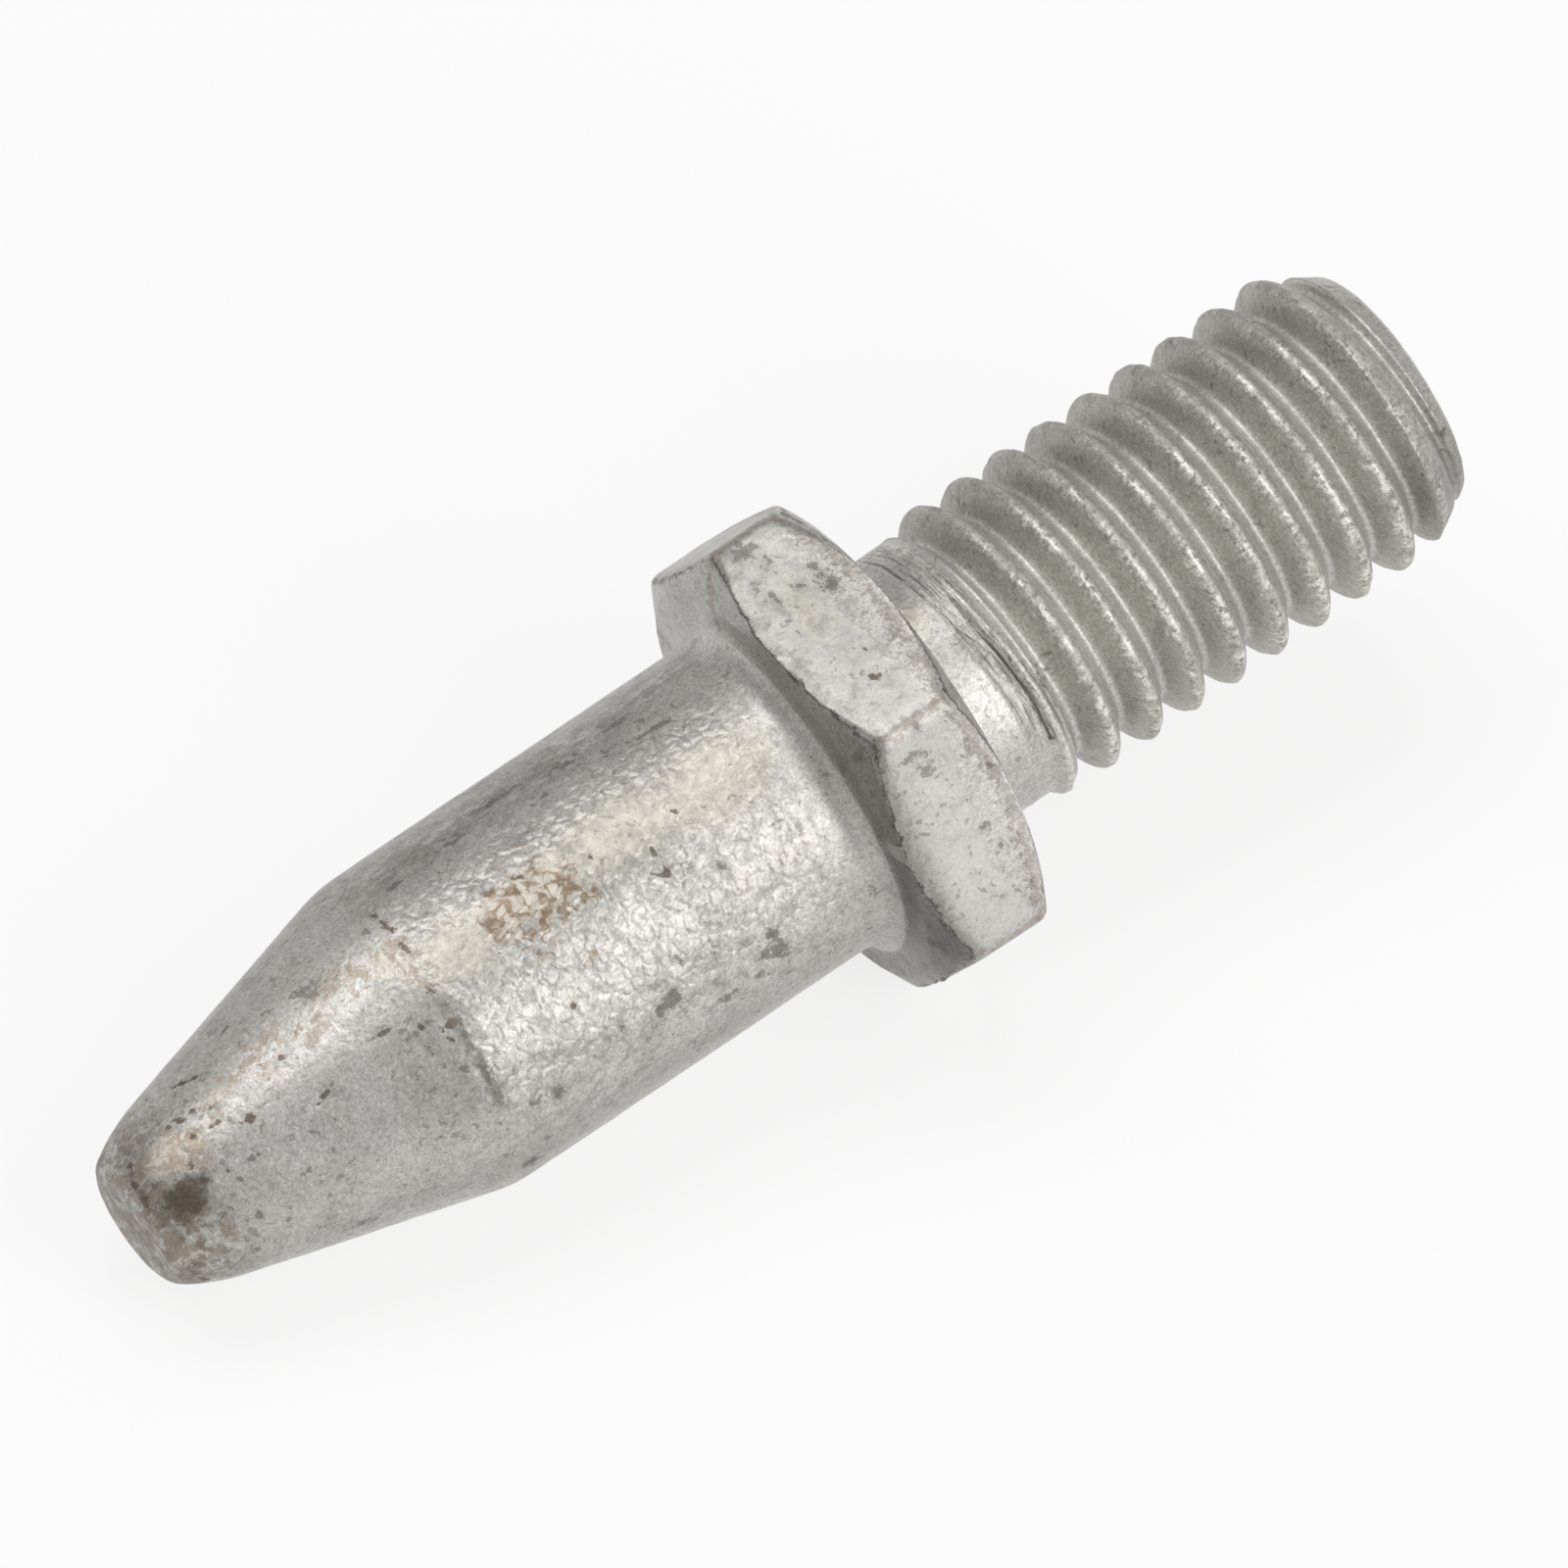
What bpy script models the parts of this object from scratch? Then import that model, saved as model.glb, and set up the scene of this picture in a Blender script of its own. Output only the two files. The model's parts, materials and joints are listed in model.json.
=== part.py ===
"""Brake disc bolt: a locating pin, a hexagonal collar, a plain neck and a rolled M8 thread, forged as one piece.

The bolt is modelled along its own axis, from the tip of the pin at x = 0 to the end of the thread. It is then
laid down as it comes to rest, on the edge of one flat of the collar and on the shoulder of the pin.
Lengths are in metres, and +Z is up.
"""

import math

import bmesh
import bpy
from mathutils import Matrix, Vector

MM = 0.001

# Locating pin
PIN_DIAMETER = 8.5 * MM
PIN_LENGTH = 19.4 * MM
CONE_LENGTH = 8.38 * MM
CONE_TIP_DIAMETER = 4.0 * MM
TIP_CROWN_RADIUS = 5.5 * MM
TIP_EDGE_RADIUS = 0.6 * MM
TIP_EDGE_ANGLE = math.radians(31.5)
PIN_FILLET_RADIUS = 0.75 * MM

# Hexagonal collar
ACROSS_FLATS = 11.7 * MM
CORNER_RADIUS = 0.5 * MM
COLLAR_THICKNESS = 3.2 * MM
PIN_FACE_DIAMETER = 10.9 * MM
BEARING_FACE_DIAMETER = 11.6 * MM
COLLAR_CHAMFER_ANGLE = math.radians(30.0)

# The collar's chamfered edges are crisp along the flats, and rounded where the forging fills its corners less
CORNER_EDGE_RADIUS = 0.7 * MM
CRISP_EDGE_ANGLE = math.radians(20.0)

# Neck and thread: the neck keeps the diameter of the blank, which is the thread's pitch diameter
PITCH_DIAMETER = 7.2 * MM
NECK_LENGTH = 0.84 * MM
NECK_FILLET_RADIUS = 0.35 * MM
STUD_LENGTH = 14.6 * MM
THREAD_PITCH = 1.25 * MM
FLANK_ANGLE = math.radians(30.0)
ROOT_WIDTH = 0.16 * MM
CREST_WIDTH = 0.36 * MM
CREST_CROWN = 0.07 * MM
END_DIAMETER = 5.8 * MM
END_CHAMFER_ANGLE = math.radians(30.0)
END_EDGE_RADIUS = 0.3 * MM

# Where the rolled thread starts round the axis, and the turns over which its crest and its groove rise to full form
THREAD_START_ANGLE = math.radians(-63.0)
CREST_RISE_TURNS = 1.0
GROOVE_DELAY_TURNS = 0.5
GROOVE_RISE_TURNS = 0.5

# Facets
FLAT_FACETS = 5
TIP_EDGE_FACETS = 4
CROWN_FACETS = 3
PIN_FILLET_FACETS = 4
COLLAR_EDGE_FACETS = 3
NECK_FILLET_FACETS = 2
END_EDGE_FACETS = 2
SMOOTH_BELOW = math.radians(30.0)
WELD_DISTANCE = 0.0001 * MM

# Worked out from the sizes above
SECTOR = math.radians(60.0)
PIN_RADIUS = PIN_DIAMETER / 2
PITCH_RADIUS = PITCH_DIAMETER / 2
FLAT_DISTANCE = ACROSS_FLATS / 2
CORNER_CENTRE = (FLAT_DISTANCE - CORNER_RADIUS) / math.cos(SECTOR / 2)
CORNER_START = math.atan(CORNER_CENTRE * math.sin(SECTOR / 2) / FLAT_DISTANCE)
BEARING_FACE_X = PIN_LENGTH + COLLAR_THICKNESS
END_X = BEARING_FACE_X + STUD_LENGTH
THREAD_START_X = BEARING_FACE_X + NECK_LENGTH


def arc(centre_x, centre_r, radius, start, end, facets):
    """Points (x, r) on an arc. An angle is 0 straight away from the axis, and grows towards the pin's tip."""
    angles = [start + (end - start) * i / facets for i in range(facets + 1)]
    return [(centre_x - radius * math.sin(a), centre_r + radius * math.cos(a)) for a in angles]


def pin_profile():
    """The pin's turned outline as (x, r), from its flat tip to the foot of its fillet on the collar."""
    cone_angle = math.atan((PIN_DIAMETER - CONE_TIP_DIAMETER) / 2 / CONE_LENGTH)
    edge_x = TIP_EDGE_RADIUS * (1 - math.sin(TIP_EDGE_ANGLE))
    crown_x = edge_x + TIP_CROWN_RADIUS * (math.sin(TIP_EDGE_ANGLE) - math.sin(cone_angle))
    crown_r = PIN_RADIUS - (CONE_LENGTH - crown_x) * math.tan(cone_angle)
    crown = arc(
        crown_x + TIP_CROWN_RADIUS * math.sin(cone_angle),
        crown_r - TIP_CROWN_RADIUS * math.cos(cone_angle),
        TIP_CROWN_RADIUS,
        TIP_EDGE_ANGLE,
        cone_angle,
        CROWN_FACETS,
    )
    edge_r = crown[0][1] - TIP_EDGE_RADIUS * math.cos(TIP_EDGE_ANGLE)
    edge = arc(TIP_EDGE_RADIUS, edge_r, TIP_EDGE_RADIUS, math.pi / 2, TIP_EDGE_ANGLE, TIP_EDGE_FACETS)
    fillet = arc(
        PIN_LENGTH - PIN_FILLET_RADIUS,
        PIN_RADIUS + PIN_FILLET_RADIUS,
        PIN_FILLET_RADIUS,
        math.pi,
        3 * math.pi / 2,
        PIN_FILLET_FACETS,
    )
    return edge[:-1] + crown + [(CONE_LENGTH, PIN_RADIUS)] + fillet


def neck_profile():
    """The fillet between the collar's bearing face and the neck, as (x, r)."""
    return arc(
        BEARING_FACE_X + NECK_FILLET_RADIUS,
        PITCH_RADIUS + NECK_FILLET_RADIUS,
        NECK_FILLET_RADIUS,
        math.pi / 2,
        math.pi,
        NECK_FILLET_FACETS,
    )


def end_edge_profile():
    """The rounding between the end chamfer and the flat end face, as (x, r)."""
    return arc(
        END_X - END_EDGE_RADIUS,
        END_DIAMETER / 2,
        END_EDGE_RADIUS,
        -END_CHAMFER_ANGLE,
        -math.pi / 2,
        END_EDGE_FACETS,
    )


def hexagon_radius(angle):
    """Distance from the axis to the rounded hexagon. A flat's middle is at every multiple of 60 degrees."""
    from_flat = abs((angle + SECTOR / 2) % SECTOR - SECTOR / 2)
    if from_flat <= CORNER_START:
        return FLAT_DISTANCE / math.cos(from_flat)
    from_corner = SECTOR / 2 - from_flat
    across = CORNER_CENTRE * math.sin(from_corner)
    return CORNER_CENTRE * math.cos(from_corner) + math.sqrt(CORNER_RADIUS**2 - across**2)


def chamfer_drop(angle, face_diameter):
    """How far the chamfer that starts at the edge of a round face has dropped where it meets the hexagon."""
    return max(hexagon_radius(angle) - face_diameter / 2, 0) * math.tan(COLLAR_CHAMFER_ANGLE)


def collar_edge(x, angle, towards_tip):
    """The rounding between a chamfer and the hexagon as (x, r), where their sharp edge would lie at x."""
    from_flat = abs((angle + SECTOR / 2) % SECTOR - SECTOR / 2)
    share = max(from_flat - CRISP_EDGE_ANGLE, 0) / (SECTOR / 2 - CRISP_EDGE_ANGLE)
    radius = CORNER_EDGE_RADIUS * share**2
    turn = math.pi / 2 - COLLAR_CHAMFER_ANGLE
    inset = radius * math.tan(turn / 2)
    centre_r = hexagon_radius(angle) - radius
    if towards_tip:
        return arc(x + inset, centre_r, radius, turn, 0, COLLAR_EDGE_FACETS)
    return arc(x - inset, centre_r, radius, 0, -turn, COLLAR_EDGE_FACETS)


def column_angles():
    """The directions of the lengthwise edges, from the start of the thread round the axis once."""
    flat = [CORNER_START * (2 * i / FLAT_FACETS - 1) for i in range(FLAT_FACETS + 1)]
    turn = [side * SECTOR + a for side in range(6) for a in flat + [SECTOR / 2]]
    return sorted(THREAD_START_ANGLE + (a - THREAD_START_ANGLE) % (2 * math.pi) for a in turn)


def rise(turns, delay, length):
    """Goes smoothly from 0 to 1 over length turns of the thread, after delay turns."""
    t = min(max((turns - delay) / length, 0), 1)
    return t * t * (3 - 2 * t)


def thread_section(turns):
    """One pitch of the thread as (x, height over the neck), this many turns from where the thread starts."""
    groove = rise(turns, GROOVE_DELAY_TURNS, GROOVE_RISE_TURNS)
    crest = rise(turns, 0, CREST_RISE_TURNS)
    half = THREAD_PITCH / 2
    root_depth = (half - ROOT_WIDTH) / 2 / math.tan(FLANK_ANGLE)
    crest_height = (half - CREST_WIDTH) / 2 / math.tan(FLANK_ANGLE)
    middle = half + half / 2
    return [
        (0, 0),
        (half / 2 - ROOT_WIDTH / 2, -root_depth * groove),
        (half / 2 + ROOT_WIDTH / 2, -root_depth * groove),
        (middle - CREST_WIDTH / 2, crest_height * crest),
        (middle, (crest_height + CREST_CROWN) * crest),
        (middle + CREST_WIDTH / 2, crest_height * crest),
    ]


def chamfered(x, radius):
    """The radius left by the chamfer on the end of the thread."""
    edge_x, edge_r = end_edge_profile()[0]
    return min(radius, edge_r + (edge_x - x) * math.tan(END_CHAMFER_ANGLE))


def place(mesh, x, radius, angle):
    """Adds a point. An angle is 0 straight up from the axis, and grows clockwise as seen from the tip."""
    return mesh.verts.new((x, -radius * math.sin(angle), radius * math.cos(angle)))


def ring(mesh, angles, x, radius):
    return [place(mesh, x, radius, a) for a in angles]


def bridge(mesh, near, far):
    """Joins two rings with a band of faces."""
    for i in range(len(near)):
        mesh.faces.new((near[i - 1], near[i], far[i], far[i - 1]))


def shank_and_collar(mesh, angles):
    """The turned pin and the collar, as rings of one surface. It gives back the ring at the foot of the neck."""
    rings = [ring(mesh, angles, x, r) for x, r in pin_profile()]
    near_face = [min(PIN_FACE_DIAMETER / 2, hexagon_radius(a)) for a in angles]
    far_face = [min(BEARING_FACE_DIAMETER / 2, hexagon_radius(a)) for a in angles]
    near_edge = [PIN_LENGTH + chamfer_drop(a, PIN_FACE_DIAMETER) for a in angles]
    far_edge = [BEARING_FACE_X - chamfer_drop(a, BEARING_FACE_DIAMETER) for a in angles]
    rings.append([place(mesh, PIN_LENGTH, r, a) for r, a in zip(near_face, angles)])
    for edge, towards_tip in ((near_edge, True), (far_edge, False)):
        sections = [collar_edge(x, a, towards_tip) for x, a in zip(edge, angles)]
        for points in zip(*sections):
            rings.append([place(mesh, x, r, a) for (x, r), a in zip(points, angles)])
    rings.append([place(mesh, BEARING_FACE_X, r, a) for r, a in zip(far_face, angles)])
    rings += [ring(mesh, angles, x, r) for x, r in neck_profile()]
    mesh.faces.new(rings[0])
    for near, far in zip(rings, rings[1:]):
        bridge(mesh, near, far)
    return rings[-1]


def thread(mesh, angles, neck):
    """The helical surface. The last edge of one turn is the first edge of the next, as on a screw."""
    columns = len(angles)
    turns = math.ceil((END_X - THREAD_START_X) / THREAD_PITCH) + 1
    rows = []
    for step in range(turns * columns + 1):
        angle = angles[step % columns] + 2 * math.pi * (step // columns)
        done = (angle - angles[0]) / (2 * math.pi)
        start_x = THREAD_START_X + (angle - THREAD_START_ANGLE) / (2 * math.pi) * THREAD_PITCH
        row = []
        for x, height in thread_section(done):
            radius = chamfered(start_x + x, PITCH_RADIUS + height)
            row.append(place(mesh, start_x + x, radius, angle))
        rows.append(row)
    for step in range(len(rows) - 1 - columns):
        here = rows[step] + [rows[step + columns][0]]
        after = rows[step + 1] + [rows[step + 1 + columns][0]]
        for k in range(len(here) - 1):
            mesh.faces.new((here[k], after[k], after[k + 1], here[k + 1]))
    for step in range(columns - 1):
        mesh.faces.new((neck[step], neck[step + 1], rows[step + 1][0], rows[step][0]))
    seam = rows[0] + [rows[columns][0]]
    mesh.faces.new([neck[-1], neck[0]] + seam + [rows[columns - 1][0]])
    for row in rows[-1 - columns :]:
        for vertex in row[1:]:
            if not vertex.link_faces:
                mesh.verts.remove(vertex)


def thread_end(mesh):
    """Cuts the thread off square, and closes it with a rounded edge and a flat end face."""
    edge = end_edge_profile()
    cut = bmesh.ops.bisect_plane(
        mesh,
        geom=mesh.verts[:] + mesh.edges[:] + mesh.faces[:],
        dist=WELD_DISTANCE,
        plane_co=(edge[0][0], 0, 0),
        plane_no=(1, 0, 0),
        clear_outer=True,
    )
    loop = [part for part in cut["geom_cut"] if isinstance(part, bmesh.types.BMEdge)]
    face = bmesh.ops.edgeloop_fill(mesh, edges=loop)["faces"][0]
    for x, radius in edge[1:]:
        face = bmesh.ops.extrude_discrete_faces(mesh, faces=[face])["faces"][0]
        for vertex in face.verts:
            outward = Vector((0, vertex.co.y, vertex.co.z)).normalized()
            vertex.co = Vector((x, 0, 0)) + outward * radius


def zinc_plated_steel():
    material = bpy.data.materials.new("zinc_plated_steel")
    material.use_nodes = True
    shader = material.node_tree.nodes["Principled BSDF"]
    shader.inputs["Base Color"].default_value = (0.56, 0.55, 0.52, 1)
    shader.inputs["Metallic"].default_value = 0.9
    shader.inputs["Roughness"].default_value = 0.48
    return material


def rest_tilt():
    """How far the pin dips when the bolt lies on the edge of a flat and on the shoulder of the pin."""
    half_facet = CORNER_START / FLAT_FACETS
    edge_x = PIN_LENGTH + chamfer_drop(half_facet, PIN_FACE_DIAMETER)
    rise_of_edge = FLAT_DISTANCE - PIN_RADIUS * math.cos(half_facet)
    return math.atan2(rise_of_edge, edge_x - CONE_LENGTH)


def lay_down(bolt):
    """Tilts the bolt to its rest, with its box centred over the origin and its lowest points at z = 0."""
    turn = Matrix.Rotation(-rest_tilt(), 4, "Y")
    points = [turn @ vertex.co for vertex in bolt.data.vertices]
    low = Vector([min(p[i] for p in points) for i in range(3)])
    high = Vector([max(p[i] for p in points) for i in range(3)])
    middle = (low + high) / 2
    bolt.rotation_euler = turn.to_euler()
    bolt.location = (-middle.x, -middle.y, -low.z)


def brake_disc_bolt():
    mesh = bmesh.new()
    angles = column_angles()
    thread(mesh, angles, shank_and_collar(mesh, angles))
    thread_end(mesh)
    bmesh.ops.remove_doubles(mesh, verts=mesh.verts, dist=WELD_DISTANCE)
    bmesh.ops.recalc_face_normals(mesh, faces=mesh.faces)
    data = bpy.data.meshes.new("brake_disc_bolt")
    mesh.to_mesh(data)
    mesh.free()
    data.materials.append(zinc_plated_steel())
    data.shade_smooth()
    data.set_sharp_from_angle(angle=SMOOTH_BELOW)
    bolt = bpy.data.objects.new("brake_disc_bolt", data)
    bpy.context.collection.objects.link(bolt)
    lay_down(bolt)


for item in list(bpy.data.objects):
    bpy.data.objects.remove(item)
brake_disc_bolt()
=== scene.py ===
import json
import math

import bmesh
import bpy
import numpy as np
from mathutils import Matrix, Vector, noise


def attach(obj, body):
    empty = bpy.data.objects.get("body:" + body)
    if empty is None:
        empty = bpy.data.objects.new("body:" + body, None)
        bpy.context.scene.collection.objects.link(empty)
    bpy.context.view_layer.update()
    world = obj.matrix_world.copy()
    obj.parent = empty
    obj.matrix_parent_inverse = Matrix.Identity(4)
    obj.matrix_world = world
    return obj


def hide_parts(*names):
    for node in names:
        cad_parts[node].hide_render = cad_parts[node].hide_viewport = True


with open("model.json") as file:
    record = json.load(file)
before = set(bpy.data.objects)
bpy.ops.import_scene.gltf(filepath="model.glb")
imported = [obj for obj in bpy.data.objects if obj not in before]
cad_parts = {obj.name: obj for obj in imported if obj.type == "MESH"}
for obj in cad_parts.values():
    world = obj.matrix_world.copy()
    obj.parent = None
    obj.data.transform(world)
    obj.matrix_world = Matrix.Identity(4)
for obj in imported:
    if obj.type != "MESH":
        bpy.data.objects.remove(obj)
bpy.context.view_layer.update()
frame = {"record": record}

# The bolt's surface is described in millimetres along its own axis: x from the tip of the pin, r from the
# axis, and an angle that is 0 at the top flat of the collar and grows clockwise as seen from the tip.
MM = 0.001
SECTOR = math.radians(60.0)

# Sizes of the solid
PIN_RADIUS = 4.25
PIN_LENGTH = 19.4
CONE_LENGTH = 8.38
CONE_TIP_RADIUS = 2.0
TIP_CROWN_RADIUS = 5.5
TIP_EDGE_RADIUS = 0.6
TIP_EDGE_ANGLE = math.radians(31.5)
PIN_FILLET_RADIUS = 0.75
FLAT_DISTANCE = 5.85
CORNER_RADIUS = 0.5
BEARING_FACE_X = 22.6
PIN_FACE_RADIUS = 5.45
BEARING_FACE_RADIUS = 5.8
COLLAR_CHAMFER = math.tan(math.radians(30.0))
PITCH_RADIUS = 3.6
NECK_FILLET_RADIUS = 0.35
THREAD_START_X = 23.44
THREAD_START_ANGLE = math.radians(-63.0)
THREAD_PITCH = 1.25
END_X = 37.2
END_RADIUS = 2.9
END_CHAMFER = math.radians(30.0)
END_EDGE_RADIUS = 0.3

# Rounding of the shoulder between the cone and the cylinder, which the solid leaves sharp
SHOULDER_RADIUS = 4.0

# The collar's rounded hexagon
CORNER_CENTRE = (FLAT_DISTANCE - CORNER_RADIUS) / math.cos(SECTOR / 2)
CORNER_START = math.atan(CORNER_CENTRE * math.sin(SECTOR / 2) / FLAT_DISTANCE)

# Steps of the mesh across each flat and round each corner, and along the neck
FLAT_STEPS = 26
CORNER_STEPS = 6
NECK_STEPS = 14

# Rounding of the collar's edges: along the flats, and at the six corners, starting with the one that is
# 30 degrees round the axis
EDGE_ROUNDING = 0.1
CRISP_EDGE_ANGLE = math.radians(10.0)
NEAR_CORNERS = np.array([0.55, 0.8, 0.75, 0.75, 0.6, 0.6])
FAR_CORNERS = np.array([0.55, 0.6, 0.65, 0.75, 1.1, 1.45])

# How far the wear reaches into the surface, in millimetres, and how high the fold's ridge stands
EVEN_WEAR = 0.028
BROAD_WAVES = 0.014
PEEL_DEPTH = 0.009
GRAIN_DEPTH = 0.006
PEBBLE_DEPTH = 0.012
CREST_WEAR = 0.008
SEAM_DEPTH = 0.02
PIT_DEPTH = 0.035
RUST_DEPTH = 0.015
GROOVE_DEPTH = 0.035
CREASE_DEPTH = 0.03
RIDGE_HEIGHT = 0.1
LIP_DEPTH = 0.03

FLOOR_WHITENESS = 0.8
FLOOR_HALF_SIZE = 3.0
SKY_STRENGTH = 0.32

# View: the camera looks at the corner between two flats, and down the axis a little from the pin's side
VIEW_ANGLE = math.radians(27.1)
VIEW_TILT = math.radians(14.6)
VIEW_ROLL = math.radians(33.85)
VIEW_X = 19.25
FRAME_WIDTH = 37.31
FRAME_OFFSET = (-0.047, 0.117)
LENS = 1000.0
SENSOR = 36.0

# Where the bolt lies, from the record's mount on the bearing face, straight above the axis
MOUNT_HEIGHT = 4.8
mount = frame["record"]["mounts"][0]
ALONG = np.array(mount["axis"])
UPWARD = np.array([-ALONG[2], 0.0, ALONG[0]])
SIDEWAYS = np.array([0.0, -1.0, 0.0])
TIP = np.array(mount["pos_m"]) / MM - MOUNT_HEIGHT * UPWARD - BEARING_FACE_X * ALONG


def smooth_step(value, low, high):
    t = np.clip((np.asarray(value, float) - low) / (high - low), 0, 1)
    return t * t * (3 - 2 * t)


def hexagon_radius(angle):
    from_flat = np.abs((angle + SECTOR / 2) % SECTOR - SECTOR / 2)
    from_corner = SECTOR / 2 - from_flat
    across = CORNER_CENTRE * np.sin(from_corner)
    corner = CORNER_CENTRE * np.cos(from_corner) + np.sqrt(np.maximum(CORNER_RADIUS**2 - across**2, 0))
    return np.where(from_flat <= CORNER_START, FLAT_DISTANCE / np.cos(from_flat), corner)


def column_angles():
    flat = np.linspace(-CORNER_START, CORNER_START, FLAT_STEPS + 1)
    corner = np.linspace(CORNER_START, SECTOR - CORNER_START, CORNER_STEPS + 1)[1:-1]
    turn = np.concatenate([side * SECTOR + np.concatenate([flat, corner]) for side in range(6)])
    return np.sort(THREAD_START_ANGLE + (turn - THREAD_START_ANGLE) % (2 * math.pi))


def arc(centre_x, centre_r, radius, start, end, steps):
    angles = np.linspace(start, end, steps + 1)
    return [(centre_x - radius * math.sin(a), centre_r + radius * math.cos(a)) for a in angles]


def line(start, end, steps):
    start, end = np.array(start), np.array(end)
    return [tuple(start + (end - start) * i / steps) for i in range(1, steps + 1)]


def pin_profile():
    """The pin's outline as (x, r) points, from the middle of its tip to its fillet's foot on the collar."""
    cone = math.atan((PIN_RADIUS - CONE_TIP_RADIUS) / CONE_LENGTH)
    edge_x = TIP_EDGE_RADIUS * (1 - math.sin(TIP_EDGE_ANGLE))
    crown_x = edge_x + TIP_CROWN_RADIUS * (math.sin(TIP_EDGE_ANGLE) - math.sin(cone))
    crown_r = PIN_RADIUS - (CONE_LENGTH - crown_x) * math.tan(cone)
    crown_centre = (crown_x + TIP_CROWN_RADIUS * math.sin(cone), crown_r - TIP_CROWN_RADIUS * math.cos(cone))
    crown = arc(*crown_centre, TIP_CROWN_RADIUS, TIP_EDGE_ANGLE, cone, 12)
    edge_r = crown[0][1] - TIP_EDGE_RADIUS * math.cos(TIP_EDGE_ANGLE)
    edge = arc(TIP_EDGE_RADIUS, edge_r, TIP_EDGE_RADIUS, math.pi / 2, TIP_EDGE_ANGLE, 7)
    fillet_x = PIN_LENGTH - PIN_FILLET_RADIUS
    points = line((0, 0), edge[0], 20) + edge[1:] + crown[1:]
    reach = SHOULDER_RADIUS * math.tan(cone / 2)
    shoulder = arc(CONE_LENGTH + reach, PIN_RADIUS - SHOULDER_RADIUS, SHOULDER_RADIUS, cone, 0, 8)
    points += line(crown[-1], shoulder[0], 38) + shoulder[1:]
    points += line(shoulder[-1], (fillet_x, PIN_RADIUS), 58)
    fillet = arc(fillet_x, PIN_RADIUS + PIN_FILLET_RADIUS, PIN_FILLET_RADIUS, math.pi, 1.5 * math.pi, 9)
    return points + fillet[1:]


def edge_rounding(angles, at_corners):
    from_flat = np.abs((angles + SECTOR / 2) % SECTOR - SECTOR / 2)
    share = np.maximum(from_flat - CRISP_EDGE_ANGLE, 0) / (SECTOR / 2 - CRISP_EDGE_ANGLE)
    corner = at_corners[np.floor(angles / SECTOR).astype(int) % 6]
    return EDGE_ROUNDING + (corner - EDGE_ROUNDING) * share**2


def rounded(corners, steps, radii, arc_steps):
    """Rings of (x, r), one pair per column, along a path of corners: each but the two ends is rounded."""
    rings = []
    last = corners[0]
    for i in range(1, len(corners)):
        target = corners[i]
        if i < len(corners) - 1:
            into, out = corners[i] - corners[i - 1], corners[i + 1] - corners[i]
            near, far = np.linalg.norm(into, axis=1), np.linalg.norm(out, axis=1)
            into, out = into / near[:, None], out / far[:, None]
            turn = np.arccos(np.clip((into * out).sum(1), -1, 1))
            short = np.minimum(near, far)
            room = np.maximum(0.45 * short, short - 0.2)
            reach = np.minimum(radii[i - 1] * np.tan(turn / 2), room)[:, None]
            target = corners[i] - into * reach
        for step in range(1, steps[i - 1] + 1):
            rings.append(last + (target - last) * step / steps[i - 1])
        if i < len(corners) - 1:
            last = corners[i] + out * reach
            for step in range(1, arc_steps[i - 1] + 1):
                t = step / arc_steps[i - 1]
                rings.append((1 - t) ** 2 * target + 2 * t * (1 - t) * corners[i] + t * t * last)
    return rings


def edge_wander(angles):
    """How far the forging's lip pushes the pin-side edge of the upper flats towards the tip."""
    degrees = np.degrees(angles)
    upper = smooth_step(degrees, -75, -50) * smooth_step(-degrees, -125, -100)
    wave = np.array([noise.noise(Vector((a * 3.1, 4.2, 0.7))) + 0.6 * noise.noise(Vector((a * 9.0, 1.2, 5.1)))
                     for a in angles])
    return upper * (0.22 + 0.1 * wave)


WANDER_ANGLES = np.linspace(-math.pi, math.pi, 721)
WANDER = (WANDER_ANGLES, edge_wander(WANDER_ANGLES))


def collar_rings(angles):
    ones = np.ones_like(angles)
    hexagon = hexagon_radius(angles)
    near_drop = (hexagon - PIN_FACE_RADIUS) * COLLAR_CHAMFER - edge_wander(angles)
    far_drop = (hexagon - BEARING_FACE_RADIUS) * COLLAR_CHAMFER
    corners = [
        np.column_stack([PIN_LENGTH * ones, (PIN_RADIUS + PIN_FILLET_RADIUS) * ones]),
        np.column_stack([PIN_LENGTH * ones, PIN_FACE_RADIUS * ones]),
        np.column_stack([PIN_LENGTH + near_drop, hexagon]),
        np.column_stack([BEARING_FACE_X - far_drop, hexagon]),
        np.column_stack([BEARING_FACE_X * ones, BEARING_FACE_RADIUS * ones]),
        np.column_stack([BEARING_FACE_X * ones, (PITCH_RADIUS + NECK_FILLET_RADIUS) * ones]),
    ]
    plain = EDGE_ROUNDING * ones
    radii = [plain, edge_rounding(angles, NEAR_CORNERS), edge_rounding(angles, FAR_CORNERS), plain]
    return rounded(corners, [3, 4, 20, 3, 10], radii, [3, 6, 6, 3])


# One pitch of the thread: places across it, the middles of its root and its crest, and their forms
SECTION_X = np.array([0, 0.09, 0.17, 0.22, 0.262, 0.3125, 0.363, 0.405, 0.455, 0.54, 0.61,
                      0.66, 0.715, 0.77, 0.825, 0.88, 0.9375, 0.995, 1.05, 1.105, 1.16, 1.215])
ROOT_X = 0.3125
CREST_X = 0.9375
ROOT_HALF_WIDTH = 0.07
ROOT_DEPTH = 0.415
CREST_HEIGHT = 0.32
FLANK_SLOPE = math.tan(math.radians(61.6))


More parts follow.
